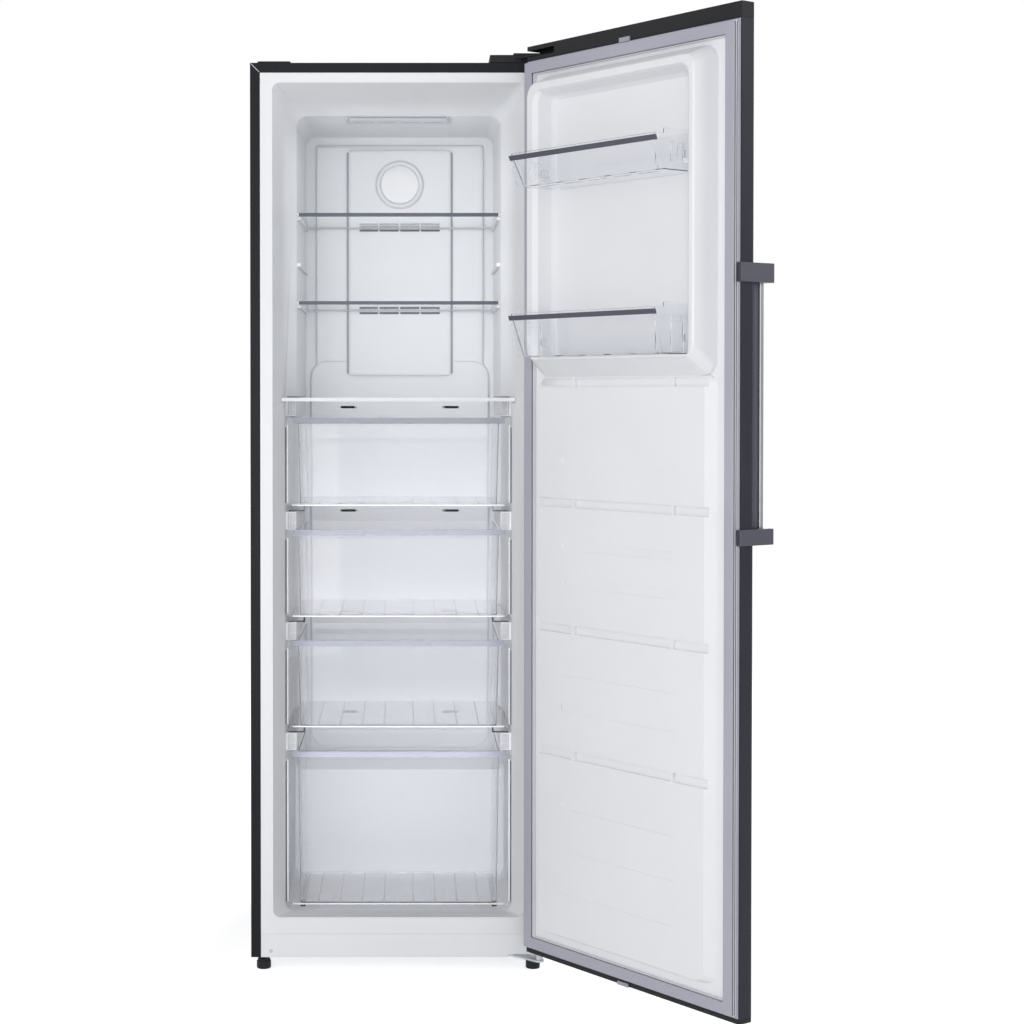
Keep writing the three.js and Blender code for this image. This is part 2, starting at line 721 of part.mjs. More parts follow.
function plate(halfWidth, z0, z1, y0, y1, taper, radius) {
  return loft([
    ring('y', y0, -halfWidth + taper, halfWidth - taper, z0 + taper, z1 - taper, radius),
    ring('y', y1, -halfWidth, halfWidth, z0, z1, radius)]);
}

// The upper cover ends on the lower cover's rounded top.
function rearDuctCover() {
  const body = plate(upperDuctHalf, upperDuctBottom, upperDuctTop, coverFaceY, cavityBack - seat, ductTaper, 5);
  const fanHole = rod('y', 0, fanHeight, fanRadius + 4, coverFaceY - 10, cavityBack + 10, 36);
  return body.subtract(lowerDuctOutline(seat, 1)).subtract(fanHole)
    .subtract(joined(outletSlots(coverFaceY - 5, cavityBack + 5)));
}

// Slots that blow air over each glass shelf, in rows of three.
function outletSlots(y0, y1) {
  const [upper, lower] = shelfLevels;
  const slots = [];
  for (const z of [upper + 13.8, upper - 4.2, lower + 10.8, lower - 7.2]) {
    for (const x of [-58, 0, 58]) slots.push(prism(capsule(x - 26, x + 26, z, 4.6), 'y', y0, y1));
  }
  return slots;
}

// Pairs of slots between the drawers.
function drawerSlots(y0, y1) {
  const slots = [];
  for (const [low, high] of bayRibs) {
    for (const x of [-114, 114]) slots.push(prism(capsule(x - 19, x + 19, (low + high) / 2, 5.4), 'y', y0, y1));
  }
  return slots;
}

// The lower cover's body, larger by `grow` in its plane and reaching `beyond` both its faces.
function lowerDuctOutline(grow, beyond) {
  const outline = (y, taper, radius) => ring('y', y, -lowerDuctHalf + taper - grow, lowerDuctHalf - taper + grow,
    lowerDuctBottom - grow, lowerDuctTop - taper + grow, radius + grow);
  const rings = [outline(coverFaceY, ductTaper, 36), outline(cavityBack - seat, 0, 38)];
  if (beyond > 0) {
    rings.unshift(outline(coverFaceY - beyond, ductTaper, 36));
    rings.push(outline(cavityBack - seat + beyond, 0, 38));
  }
  return loft(rings);
}

function lowerDuctCover() {
  const foot = box(-lowerDuctHalf, lowerDuctHalf, coverFaceY + 3, cavityBack - seat,
    lowerDuctBottom, lowerDuctBottom + 60);
  return lowerDuctOutline(0, 0).add(foot).subtract(joined(drawerSlots(coverFaceY - 5, cavityBack + 5)));
}

const flowPanelFace = coverFaceY - seat - flowPanelThickness;

function flowPanel() {
  const body = plate(flowPanelHalf, flowPanelBottom, flowPanelTop, flowPanelFace, coverFaceY - seat, 1, 8);
  return body.subtract(joined(outletSlots(flowPanelFace - 5, coverFaceY + 5)));
}

function medallion() {
  const back = flowPanelFace - seat;
  const profile = [[0, 0], [medallionRadius, 0], [medallionRadius, 3], [medallionRadius - 2, 5],
    [medallionInner + 4, 5.6], [medallionInner, 3.4], [medallionInner - 1, 2.6], [0, 2.6]];
  const geometry = new THREE.LatheGeometry(profile.map(([r, h]) => new THREE.Vector2(r, h)), 28);
  geometry.rotateX(Math.PI);
  geometry.translate(0, back, fanHeight);
  return solid(geometry);
}

function lampHousing() {
  const [front, back] = [throatStart + 9, throatStart + 89];
  return loft([
    ring('z', throatTop - seat, -110, 110, front, back, 6),
    ring('z', throatTop - 6, -106, 106, front + 4, back - 6, 6)]);
}

// ---------------------------------------------------------------- shelves

// Clip along a glass edge: a bar with a slot for the pane, its face towards -Y or +Y.
function glassClip(halfWidth, face, inwards, glassBottom) {
  const bar = box(-halfWidth, halfWidth, face, face + inwards * shelfTrimDepth,
    glassBottom - shelfTrimBelow, glassBottom + glassThickness + shelfTrimAbove);
  const slot = box(-cabinetWidth, cabinetWidth, face + inwards * 3, face + inwards * (shelfTrimDepth + 5),
    glassBottom - seat, glassBottom + glassThickness + seat);
  return bar.subtract(slot);
}

function shelfPane(glassBottom) {
  return box(-shelfHalf, shelfHalf, shelfFront + 3 + seat, shelfBack - 3 - seat,
    glassBottom, glassBottom + glassThickness);
}

function coverPane(glassBottom) {
  return box(-coverHalf, coverHalf, coverFront + 3 + seat, coverBack,
    glassBottom, glassBottom + glassThickness);
}

// The cover's front trim follows the flare of the mouth.
function coverTrim(glassBottom) {
  const flare = (y) => mouthHalf - (mouthHalf - throatHalf) * y / throatStart - 2;
  const back = coverFront + shelfTrimDepth;
  const bar = prism([[-flare(coverFront), coverFront], [flare(coverFront), coverFront],
    [flare(back), back], [-flare(back), back]], 'z',
  glassBottom - coverTrimBelow, glassBottom + glassThickness + coverTrimAbove);
  const slot = box(-coverHalf - seat, coverHalf + seat, coverFront + 3, back + 5,
    glassBottom - seat, glassBottom + glassThickness + seat);
  return bar.subtract(slot);
}

// ---------------------------------------------------------------- drawers

// A tub with sloping walls and runners; z = 0 is the front panel's lower edge.
function drawerTub(height, back, drop, reach) {
  const top = height - 3.5;
  const bottom = 1;
  const front = drawerFace + 3 + seat;
  const outside = loft([
    ring('z', bottom, -tubHalfBottom, tubHalfBottom, front, back - 14, 14),
    ring('z', top, -tubHalfTop, tubHalfTop, front, back, 14)]);
  const inside = loft([
    ring('z', bottom + drawerWall, -tubHalfBottom + drawerWall, tubHalfBottom - drawerWall,
      front + drawerWall, back - 14 - drawerWall, 12),
    ring('z', top + 1, -tubHalfTop + drawerWall, tubHalfTop - drawerWall,
      front + drawerWall, back - drawerWall, 12)]);
  const web = [tubHalfBottom - 10, tubHalfBottom - 7];
  const foot = -drop + seat;
  const runners = [];
  for (const side of [-1, 1]) {
    runners.push(box(side * web[0], side * web[1], ribStart + 4, back - 26, foot, bottom + 1));
    runners.push(box(side * web[0], side * reach, ribStart + 4, back - 26, foot, foot + 3));
  }
  return outside.subtract(inside).add(joined(runners));
}

// Slots across the lowest tub's floor, near its back.
function floorSlots(back) {
  const pitch = tubHalfBottom / 4.5;
  return joined([-3, -1, 1, 3].map((place) =>
    prism(capsule(place * pitch - 31, place * pitch + 31, back - 32, 6), 'z', -20, 20)));
}

// A clear front with a raised edge round its window and a grip rail on top.
function drawerFront(height) {
  const panel = loft([
    ring('y', drawerFace, -drawerFrontHalf, drawerFrontHalf, 0, height, 4, 10),
    ring('y', drawerFace + 3, -drawerFrontHalf, drawerFrontHalf, 0, height, 4, 10)]);
  const windowHalf = drawerFrontHalf - windowEdge;
  const window = loft([
    ring('y', drawerFace - 1, -windowHalf, windowHalf, 7, height - railHeight, 5),
    ring('y', drawerFace + 1, -windowHalf, windowHalf, 7, height - railHeight, 5)]);
  const rail = box(-windowHalf - 1, windowHalf + 1, drawerFace - 6, drawerFace + 1, height - railHeight, height);
  const grip = box(-windowHalf + 3, windowHalf - 3, drawerFace - 4, drawerFace,
    height - railHeight - 1, height - 2);
  return panel.subtract(window).add(rail.subtract(grip));
}

// ---------------------------------------------------------------- door

// The door's plan with rounded front corners, `inset` inside its outline.
function doorPlan(inset, back) {
  const radius = doorCornerRadius - inset;
  const x = half - inset;
  const y = doorFace + inset;
  const points = [[x, back]];
  for (const [cx, start] of [[x - radius, 0], [-x + radius, -90]]) {
    for (let step = 0; step <= 4; step++) {
      const angle = THREE.MathUtils.degToRad(start - 90 * step / 4);
      points.push([cx + radius * Math.cos(angle), y + radius + radius * Math.sin(angle)]);
    }
  }
  points.push([-x, back]);
  return points;
}

function doorSkin() {
  const returnLip = 9;
  const outer = prism(doorPlan(0, doorPlane), 'z', skinBottom, skinTop);
  const inner = prism(doorPlan(steelGauge, doorPlane - steelGauge), 'z', skinBottom - 1, skinTop + 1);
  const mouth = box(-half + returnLip, half - returnLip, doorPlane - 5, doorPlane + 5,
    skinBottom + returnLip, skinTop - returnLip);
  return outer.subtract(inner).subtract(mouth);
}

const bossRadius = 10;
const notchWidth = 82;

function doorTopCap() {
  const z0 = skinTop + seat;
  const shell = prism(doorPlan(0, doorPlane), 'z', z0, doorTop)
    .subtract(box(-half + 3, half - 3, doorFace + 3, doorPlane - 3, z0 - 1, doorTop - 5));
  const boss = rod('z', hingeX, hingeY, bossRadius, skinTop - 20, doorTop - 18);
  const web = box(half - notchWidth - 6, half - 3, doorFace + 2, doorPlane - 2, z0, z0 + 6);
  const notch = box(half - notchWidth, half + 5, doorFace + 3.5, doorPlane + 5, z0 + 6.2, doorTop - 8.5);
  const bore = rod('z', hingeX, hingeY, pinRadius + pinPlay, skinTop - 30, doorTop - 8.5);
  return shell.add(boss).add(web).subtract(notch).subtract(bore);
}

function doorBottomCap() {
  const z1 = skinBottom - seat;
  const boss = rod('z', hingeX, hingeY, bossRadius, doorBottom, doorBottom + 22);
  const bore = rod('z', hingeX, hingeY, pinRadius + pinPlay, doorBottom - 5, doorBottom + 18);
  return prism(doorPlan(0, doorPlane), 'z', doorBottom, z1).add(boss).subtract(bore);
}

// Grooves across the raised panel, wider by `grow`.
function panelGrooves(grow) {
  const floor = doorPlane + panelRise - grooveDepth - grow;
  const stops = [plugRight + 10, ...grooveRibs.flatMap(([a, b]) => [Math.max(a, b), Math.min(a, b)]), panelLeft - 8];
  const cuts = [];
  for (const z of grooveHeights) {
    for (let i = 0; i < stops.length; i += 2) {
      cuts.push(box(stops[i] + grow, stops[i + 1] - grow, floor, doorPlane + 40,
        z - grooveWidth / 2 - grow, z + grooveWidth / 2 + grow));
    }
  }
  return joined(cuts);
}

// The part of the door liner that stands off the door's plane, smaller by `shrink`.
function linerBulge(shrink) {
  const s = shrink;
  const foot = doorPlane - 6;
  const crest = doorPlane + dykeRise - s;
  const panel = loft([
    ring('y', foot, plugLeft + s, plugRight - s, panelBottom - 3 + s, panelTop + 3 - s, 24 - s),
    ring('y', doorPlane + 1, plugLeft + s, plugRight - s, panelBottom - 3 + s, panelTop + 3 - s, 24 - s),
    ring('y', doorPlane + panelRise - s, panelLeft + s, panelRight - s, panelBottom + s, panelTop - s, 22 - s)]);
  const frame = loft([
    ring('y', foot, plugLeft + s, plugRight - s, panelTop + s, dykeFootTop - s, 28 - s),
    ring('y', doorPlane + 10, plugLeft + 2 + s, plugRight - 3 - s, panelTop + s, dykeFootTop - s, 28 - s),
    ring('y', crest - 3, dykeLeft + s, dykeRight - s, dykeBottom - 2 + s, dykeTop + 1 - s, 26 - s),
    ring('y', crest, dykeLeft + 3 + s, dykeRight - 3 - s, dykeBottom + s, dykeTop - 2 - s, 24 - s)]);
  const round = (y, halfWidth, top, radius) => ring('y', y, -halfWidth - s, halfWidth + s,
    pocketFloor - s, top + s, radius + s, 4 + s);
  const back = doorPlane + pocketRise - s;
  const pocket = loft([
    round(crest + 5, pocketHalf + pocketLip + 1, pocketTop + 1, 24),
    round(crest, pocketHalf + pocketLip, pocketTop, 24),
    round(crest - 7, pocketHalf, pocketTop - 4, 20),
    round(back + 9, pocketBackHalf + 2, pocketTop - 10, 17),
    round(back, pocketBackHalf - 3, pocketTop - 17, 14)]);
  return panel.subtract(panelGrooves(s)).add(frame.subtract(pocket));
}

// Small ledges on the bin frame's inner walls, under the upper bin's lugs.
function binLedges() {
  const lug = doorBins[0][0] + lugHeight;
  return joined([-1, 1].map((side) => box(side * (binHalf - 8), side * (pocketHalf + 4),
    lugY[0] - 2, lugY[1] + 2, lug - 9, lug - seat)));
}

function doorLiner() {
  const sheetX = half - 10;
  const sheet = box(-sheetX, sheetX, doorPlane + seat, doorPlane + seat + linerWall, skinBottom + 4, skinTop - 4);
  const ridges = ridgeHeights.map((z) => prism(capsule(-ridgeHalf + 15, ridgeHalf + 15, z, ridgeWidth, 3), 'y',
    doorPlane + panelRise - ridgeDepth, doorPlane + 30));
  const behind = box(-cabinetWidth, cabinetWidth, doorPlane - 30, doorPlane + seat, 0, doorTop + 50);
  return linerBulge(0).add(sheet).add(binLedges()).subtract(linerBulge(linerWall)).subtract(behind)
    .subtract(joined(ridges));
}

function doorInsulation() {
  const inset = steelGauge + seat;
  const block = prism(doorPlan(inset, doorPlane - steelGauge - seat), 'z', skinBottom + seat, skinTop - seat);
  const bosses = rod('z', hingeX, hingeY, bossRadius + seat, 0, doorBottom + 22 + seat)
    .add(rod('z', hingeX, hingeY, bossRadius + seat, skinTop - 20 - seat, doorTop));
  const bulge = linerBulge(linerWall + seat);
  return block.add(bulge).subtract(bosses);
}

function doorGasket() {
  const outer = half - gasketInset;
  const back = doorPlane + seat + linerWall + seat;
  const front = -gasketFace;
  const width = gasketWidth;
  return frameSweep(-outer, outer, skinBottom + 1, skinTop - 1, [
    [1.5, back], [width - 4, back], [width - 4, back + 3.5], [width, back + 6], [width, front - 2.5],
    [width - 2.5, front], [4, front], [1, front - 1.5], [0, front - 4], [0, back + 4], [1.5, back + 3]]);
}

function capPlug(z0) {
  const [left, right, height] = [1, 15, 8];
  return loft([
    ring('y', doorPlane + seat, left, right, z0, z0 + height, 2),
    ring('y', doorPlane + 3, left + 1, right - 1, z0 + 1, z0 + height - 1, 2)]);
}

// ---------------------------------------------------------------- door bins

// How much a bin's side has drawn in at this depth.
function binNarrowing(y) {
  return binTaper * (binFront - y) / (binFront - binBack);
}

// A level outline of a bin, drawing in towards its back.
function binPlan(z, halfWidth, back, front, radius) {
  return ring('z', z, -halfWidth, halfWidth, back, front, radius)
    .map(([x, y]) => [x * (1 - binNarrowing(y) / halfWidth), y, z]);
}

// A plate that carries a side wall on beyond the leaning front, with a rounded nose below.
function binCheek(side, [bottom, frontTop, sideTop]) {
  const start = binFront - binLean - 12;
  const rows = [[bottom, 12], [bottom + 2.5, 5], [bottom + 8, 0], [frontTop, 0]];
  return loft(rows.map(([z, tuck]) => {
    const outer = binHalf - binDraft * (sideTop - z) / (sideTop - bottom) - 0.2;
    const edge = binFront - cheekLean * (frontTop - z) / (frontTop - bottom) - tuck;
    return [[outer - cheekThickness, start], [outer, start], [outer, edge], [outer - cheekThickness, edge]]
      .map(([x, y]) => [side * (x - binNarrowing(y)), y, z]);
  }));
}

// The trim's side view, `room` larger all round, leaning as the wall behind it does.
function binTrimOutline([bottom, frontTop], room) {
  const face = (z) => binFront + seat - binLean * (frontTop - z) / (frontTop - bottom);
  const z0 = frontTop - binTrimDrop - binTrimHeight - room;
  const z1 = frontTop - binTrimDrop + room;
  const reach = binTrimThickness + 4 * room;
  return [[face(z0) - room, z0], [face(z0) + reach, z0], [face(z1) + reach, z1], [face(z1) - room, z1]];
}

function doorBin(heights) {
  const [bottom, frontTop, sideTop] = heights;
  const lowHalf = binHalf - binDraft;
  const lowFront = binFront - binLean;
  const highFront = binFront + binLean * (sideTop - frontTop) / (frontTop - bottom);
  const outside = loft([
    binPlan(bottom, lowHalf, binBack, lowFront, 7),
    binPlan(sideTop, binHalf, binBack, highFront, 8)]);
  const inside = loft([
    binPlan(bottom + binWall, lowHalf - binWall, binBack + binWall, lowFront - binWall, 5),
    binPlan(sideTop + 1, binHalf - binWall, binBack + binWall, highFront - binWall, 6)]);
  const frontDip = box(-cabinetWidth, cabinetWidth, binFront - 22, highFront + 5, frontTop, sideTop + 5);
  const trimSpace = prism(binTrimOutline(heights, seat - 0.05), 'x', -binHalf - 5, binHalf + 5);
  const pitch = binHalf / 3;
  const slots = [-2, -1, 0, 1, 2].map((place) =>
    prism(capsule(place * pitch - 26, place * pitch + 26, 60, 4), 'z', bottom - 3, bottom + 4));
  const lug = bottom + lugHeight;
  const lugs = [-1, 1].map((side) => box(side * (binHalf - 15), side * (binHalf - 3.5), ...lugY, lug, lug + 14));
  return outside.add(binCheek(-1, heights)).add(binCheek(1, heights)).add(joined(lugs)).subtract(inside)
    .subtract(frontDip).subtract(trimSpace).subtract(joined(slots));
}

function binTrim(heights) {
  return prism(binTrimOutline(heights, 0), 'x', -binHalf, binHalf);
}

// ---------------------------------------------------------------- handle

const freeEdge = -half;
const barX = freeEdge + handleBarInset;
const barY = doorFace - handleBarReach;

// Wraps the door's free edge and reaches forward to hold one end of the bar. The upper one
// opens downwards and the lower one upwards.
function handleBracket([z0, z1], opensDown) {
  const outer = freeEdge - seat - handlePlate;
  const tip = doorFace - handleReach;
  const gripBack = doorPlane + seat + handlePlate;
  const outline = [[outer, gripBack], [outer, tip + 2], [outer + 2, tip], [barX + 11, tip],
    [barX + 11, tip + 25], [freeEdge - seat, tip + 34], [freeEdge - seat, doorPlane + seat],
    [freeEdge + 8, doorPlane + seat], [freeEdge + 8, gripBack]];
  const [low, high] = opensDown ? [z0 - 5, z1 - handleSocket + 2] : [z0 + handleSocket - 2, z1 + 5];
  return prism(outline, 'z', z0, z1).subtract(rod('z', barX, barY, handleBarRadius + seat, low, high));
}

function handleBar() {
  const [[, upperTop], [lowerBottom]] = handleSpan;
  const end = handleSocket + seat;
  return rod('z', barX, barY, handleBarRadius, lowerBottom + end, upperTop - end, 32);
}

// ---------------------------------------------------------------- assembly

function addPiece(parent, name, piece, material) {
  const mesh = piece.getMesh();
  const geometry = new THREE.BufferGeometry();
  geometry.setAttribute('position', new THREE.BufferAttribute(new Float32Array(mesh.vertProperties), 3));
  geometry.setIndex(new THREE.BufferAttribute(new Uint32Array(mesh.triVerts), 1));
  const node = new THREE.Mesh(geometry, material);
  node.name = name;
  parent.add(node);
  return node;
}

function addCabinet(parent) {
  addPiece(parent, 'outer_wrapper', outerWrapper(), charcoalSteel);
  addPiece(parent, 'back_panel', backPanel(), zincSteel);
  addPiece(parent, 'cabinet_insulation', insulation(), foam);
  addPiece(parent, 'inner_liner', innerLiner(), whitePlastic);
  addPiece(parent, 'compressor_step_panel', compressorStep(), zincSteel);
  addPiece(parent, 'base_frame', baseFrame(), zincSteel);
  addPiece(parent, 'toe_panel', toePanel(), whitePlastic);
  addPiece(parent, 'bottom_hinge_bracket', bottomHingeBracket(), zincSteel);
  addPiece(parent, 'top_hinge_bracket', topHingeBracket(), zincSteel);
  addPiece(parent, 'top_hinge_cover', topHingeCover(), blackPlastic);
  addPiece(parent, 'blank_hinge_cap', blankHingeCap(), blackPlastic);
  addPiece(parent, 'compressor', compressor(), compressorPaint);
  addPiece(parent, 'drip_tray', dripTray(), blackPlastic);
  addPiece(parent, 'machine_cover', machineCover(), zincSteel);
  addPiece(parent, 'cable_gland', cableGland(), blackRubber);
  for (const [side, word] of [[-1, 'left'], [1, 'right']]) {
    const foot = addPiece(parent, `front_foot_${word}`, frontFoot(), blackPlastic);
    foot.position.set(side * footX, footY, 0);
    const wheel = addPiece(parent, `rear_roller_${word}`, roller(), blackPlastic);
    wheel.position.set(side * rollerX, rollerY, rollerRadius);
    const axle = addPiece(parent, `roller_axle_${word}`, rollerAxle(), zincSteel);
    axle.position.copy(wheel.position);
  }
}

function addAirSystem(parent) {
  addPiece(parent, 'evaporator', evaporator(), aluminium);
  addPiece(parent, 'fan_motor', fanMotor(), blackPlastic);
  addPiece(parent, 'fan_impeller', fanImpeller(), blackPlastic).position.set(0, fanY, fanHeight);
  addPiece(parent, 'rear_duct_cover', rearDuctCover(), whitePlastic);
  addPiece(parent, 'lower_duct_cover', lowerDuctCover(), whitePlastic);
  addPiece(parent, 'multi_flow_panel', flowPanel(), whitePlastic);
  addPiece(parent, 'fan_medallion', medallion(), whitePlastic);
  addPiece(parent, 'lamp_housing', lampHousing(), clearPlastic);
}

function addShelves(parent) {
  ['upper', 'lower'].forEach((word, i) => {
    const glassBottom = shelfLevels[i] + seat;
    addPiece(parent, `shelf_glass_${word}`, shelfPane(glassBottom), shelfGlass);
    addPiece(parent, `shelf_front_trim_${word}`,
      glassClip(shelfHalf + 1.2, shelfFront, 1, glassBottom), greyTrim);
    addPiece(parent, `shelf_rear_trim_${word}`,
      glassClip(shelfHalf - 0.3, shelfBack, -1, glassBottom), whitePlastic);
  });
  const coverBottom = bayRibs[0][1] + seat;
  addPiece(parent, 'drawer_cover_glass', coverPane(coverBottom), shelfGlass);
  addPiece(parent, 'drawer_cover_trim', coverTrim(coverBottom), whitePlastic);
}

function addDrawers(parent) {
  drawerFronts.forEach(([low, high], i) => {
    const lowest = i === drawerFronts.length - 1;
    const back = lowest ? lowDrawerBack : drawerBack;
    const track = lowest ? bayFloor : bayRibs[i + 1][1];
    const reach = lowest ? tubHalfBottom : runnerReach;
    const tub = drawerTub(high - low, back, low - track, reach);
    const drawer = new THREE.Group();
    drawer.position.z = low;
    addPiece(drawer, `drawer_tub_${i + 1}`, lowest ? tub.subtract(floorSlots(back)) : tub, clearPlastic);
    addPiece(drawer, `drawer_front_${i + 1}`, drawerFront(high - low), clearPlastic);
    parent.add(drawer);
  });
}

// Door pieces are built closed, then turned open about the hinge pins.
function addDoor(parent) {
  const pivot = new THREE.Group();
  const door = new THREE.Group();
  pivot.position.set(hingeX, hingeY, 0);
  pivot.rotation.z = THREE.MathUtils.degToRad(doorOpening);
  door.position.set(-hingeX, -hingeY, 0);
  pivot.add(door);
  parent.add(pivot);

  addPiece(door, 'door_skin', doorSkin(), charcoalSteel);
  addPiece(door, 'door_top_cap', doorTopCap(), blackPlastic);
  addPiece(door, 'door_bottom_cap', doorBottomCap(), blackPlastic);
  addPiece(door, 'door_insulation', doorInsulation(), foam);
  addPiece(door, 'door_liner', doorLiner(), whitePlastic);
  addPiece(door, 'door_gasket', doorGasket(), gasketRubber);
  addPiece(door, 'cap_plug_top', capPlug(skinTop + 2), greyTrim);
  addPiece(door, 'cap_plug_bottom', capPlug(doorBottom - 0.8), greyTrim);
  ['upper', 'lower'].forEach((word, i) => {
    addPiece(door, `door_bin_${word}`, doorBin(doorBins[i]), clearPlastic);
    addPiece(door, `bin_trim_${word}`, binTrim(doorBins[i]), greyTrim);
    addPiece(door, `handle_bracket_${word}`, handleBracket(handleSpan[i], i === 0), greyTrim);
  });
  addPiece(door, 'handle_bar', handleBar(), brushedSteel);
}

const freezer = new THREE.Group();
addCabinet(freezer);
addAirSystem(freezer);
addShelves(freezer);
addDrawers(freezer);
addDoor(freezer);

// Stand the footprint's centre on the origin, with the door open.
const reach = new THREE.Box3().setFromObject(freezer, true);
freezer.position.set(-(reach.min.x + reach.max.x) / 2, -(reach.min.y + reach.max.y) / 2, -reach.min.z);

export default freezer;
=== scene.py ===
import bpy
import json
import math
from mathutils import Matrix, Vector


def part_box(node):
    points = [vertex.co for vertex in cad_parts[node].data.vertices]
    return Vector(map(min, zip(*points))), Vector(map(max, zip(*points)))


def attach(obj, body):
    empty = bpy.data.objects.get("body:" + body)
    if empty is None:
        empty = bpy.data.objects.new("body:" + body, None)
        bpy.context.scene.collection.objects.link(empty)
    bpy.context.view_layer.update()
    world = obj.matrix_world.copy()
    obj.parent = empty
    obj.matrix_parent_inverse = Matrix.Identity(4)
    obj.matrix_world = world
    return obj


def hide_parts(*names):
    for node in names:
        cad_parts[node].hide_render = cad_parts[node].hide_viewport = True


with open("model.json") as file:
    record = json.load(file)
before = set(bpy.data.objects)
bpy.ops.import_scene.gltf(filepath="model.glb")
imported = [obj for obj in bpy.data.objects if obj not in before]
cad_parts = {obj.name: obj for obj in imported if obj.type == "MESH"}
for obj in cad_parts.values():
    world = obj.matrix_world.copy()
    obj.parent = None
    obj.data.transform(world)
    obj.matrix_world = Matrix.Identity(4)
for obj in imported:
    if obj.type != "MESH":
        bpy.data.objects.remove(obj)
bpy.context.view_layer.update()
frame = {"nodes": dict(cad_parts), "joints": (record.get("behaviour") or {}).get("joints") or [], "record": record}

nodes = frame["nodes"]
scene = bpy.context.scene
print("frame loaded:", len(nodes), "nodes")

# The cabinet's own axes: X from its middle, Y from its front edge, Z from the floor, in millimetres.
# Door pieces are given in them as they stand with the door shut.
casingLow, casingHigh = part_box("outer_wrapper")
cabinetOrigin = Vector(((casingLow.x + casingHigh.x) / 2, casingLow.y, 0))
doorJoint = next(joint for joint in frame["joints"] if joint["name"] == "door_hinge")
hingeAxis = Vector(doorJoint["pos_m"])
doorOpening = math.radians(-doorJoint["range_deg"][0])  # the photograph's pose is the open stop
doorTurn = (Matrix.Translation(hingeAxis) @ Matrix.Rotation(doorOpening, 4, "Z")
            @ Matrix.Translation(-hingeAxis))


def spot(x, y, z):
    return cabinetOrigin + Vector((x, y, z)) / 1000


def cabinetBox(node):
    low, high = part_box(node)
    return (low - cabinetOrigin) * 1000, (high - cabinetOrigin) * 1000


def newMaterial(name):
    material = bpy.data.materials.new(name)
    material.use_nodes = True
    tree = material.node_tree
    return material, tree, tree.nodes["Principled BSDF"]


def addNoise(tree, scale, detail=3, stretch=(1, 1, 1)):
    coords = tree.nodes.new("ShaderNodeTexCoord")
    mapping = tree.nodes.new("ShaderNodeMapping")
    mapping.inputs["Scale"].default_value = stretch
    noise = tree.nodes.new("ShaderNodeTexNoise")
    noise.inputs["Scale"].default_value = scale
    noise.inputs["Detail"].default_value = detail
    tree.links.new(coords.outputs["Object"], mapping.inputs["Vector"])
    tree.links.new(mapping.outputs["Vector"], noise.inputs["Vector"])
    return noise


def addRamp(tree, source, low, high):
    ramp = tree.nodes.new("ShaderNodeValToRGB")
    ramp.color_ramp.elements[0].color = (*low, 1)
    ramp.color_ramp.elements[1].color = (*high, 1)
    ramp.color_ramp.elements[0].position = 0.3
    ramp.color_ramp.elements[1].position = 0.7
    tree.links.new(source, ramp.inputs["Fac"])
    return ramp.outputs["Color"]


def addRange(tree, source, low, high):
    span = tree.nodes.new("ShaderNodeMapRange")
    span.inputs["To Min"].default_value = low
    span.inputs["To Max"].default_value = high
    tree.links.new(source, span.inputs["Value"])
    return span.outputs["Result"]


def addBump(tree, source, shader, strength, distance):
    bump = tree.nodes.new("ShaderNodeBump")
    bump.inputs["Strength"].default_value = strength
    bump.inputs["Distance"].default_value = distance
    tree.links.new(source, bump.inputs["Height"])
    tree.links.new(bump.outputs["Normal"], shader.inputs["Normal"])


def grainedMaterial(name, low, high, roughness, metallic, grain):
    # a slow drift in colour, and a finer grain in roughness and bump
    material, tree, shader = newMaterial(name)
    drift = addNoise(tree, grain.get("driftScale", 4))
    fine = addNoise(tree, grain["scale"], 4, grain.get("stretch", (1, 1, 1)))
    tree.links.new(addRamp(tree, drift.outputs["Fac"], low, high), shader.inputs["Base Color"])
    tree.links.new(addRange(tree, fine.outputs["Fac"], *roughness), shader.inputs["Roughness"])
    addBump(tree, fine.outputs["Fac"], shader, grain["strength"], grain["distance"])
    shader.inputs["Metallic"].default_value = metallic
    shader.inputs["Specular IOR Level"].default_value = grain.get("gloss", 0.5)
    return material


# A clear solid with a little white in it. Lamp light passes it, dimmed by the veil, so what it holds
# is lit.
def clearMaterial(name, colour, roughness, ior, milk, veil, haze=(0.90, 0.91, 0.94)):
    material, tree, shader = newMaterial(name)
    fine = addNoise(tree, 30, 2)
    tree.links.new(addRange(tree, fine.outputs["Fac"], *roughness), shader.inputs["Roughness"])
    shader.inputs["Base Color"].default_value = (*colour, 1)
    shader.inputs["Transmission Weight"].default_value = 1
    shader.inputs["IOR"].default_value = ior
    cloud = tree.nodes.new("ShaderNodeBsdfDiffuse")
    cloud.inputs["Color"].default_value = (*haze, 1)
    cloudy = tree.nodes.new("ShaderNodeMixShader")
    cloudy.inputs["Fac"].default_value = milk
    tree.links.new(shader.outputs["BSDF"], cloudy.inputs[1])
    tree.links.new(cloud.outputs["BSDF"], cloudy.inputs[2])
    through = tree.nodes.new("ShaderNodeBsdfTransparent")
    through.inputs["Color"].default_value = (*veil, 1)
    rays = tree.nodes.new("ShaderNodeLightPath")
    passing = tree.nodes.new("ShaderNodeMath")
    passing.operation = "MAXIMUM"
    tree.links.new(rays.outputs["Is Shadow Ray"], passing.inputs[0])
    tree.links.new(rays.outputs["Is Diffuse Ray"], passing.inputs[1])
    choice = tree.nodes.new("ShaderNodeMixShader")
    tree.links.new(passing.outputs[0], choice.inputs["Fac"])
    tree.links.new(cloudy.outputs[0], choice.inputs[1])
    tree.links.new(through.outputs[0], choice.inputs[2])
    tree.links.new(choice.outputs[0], tree.nodes["Material Output"].inputs["Surface"])
    return material


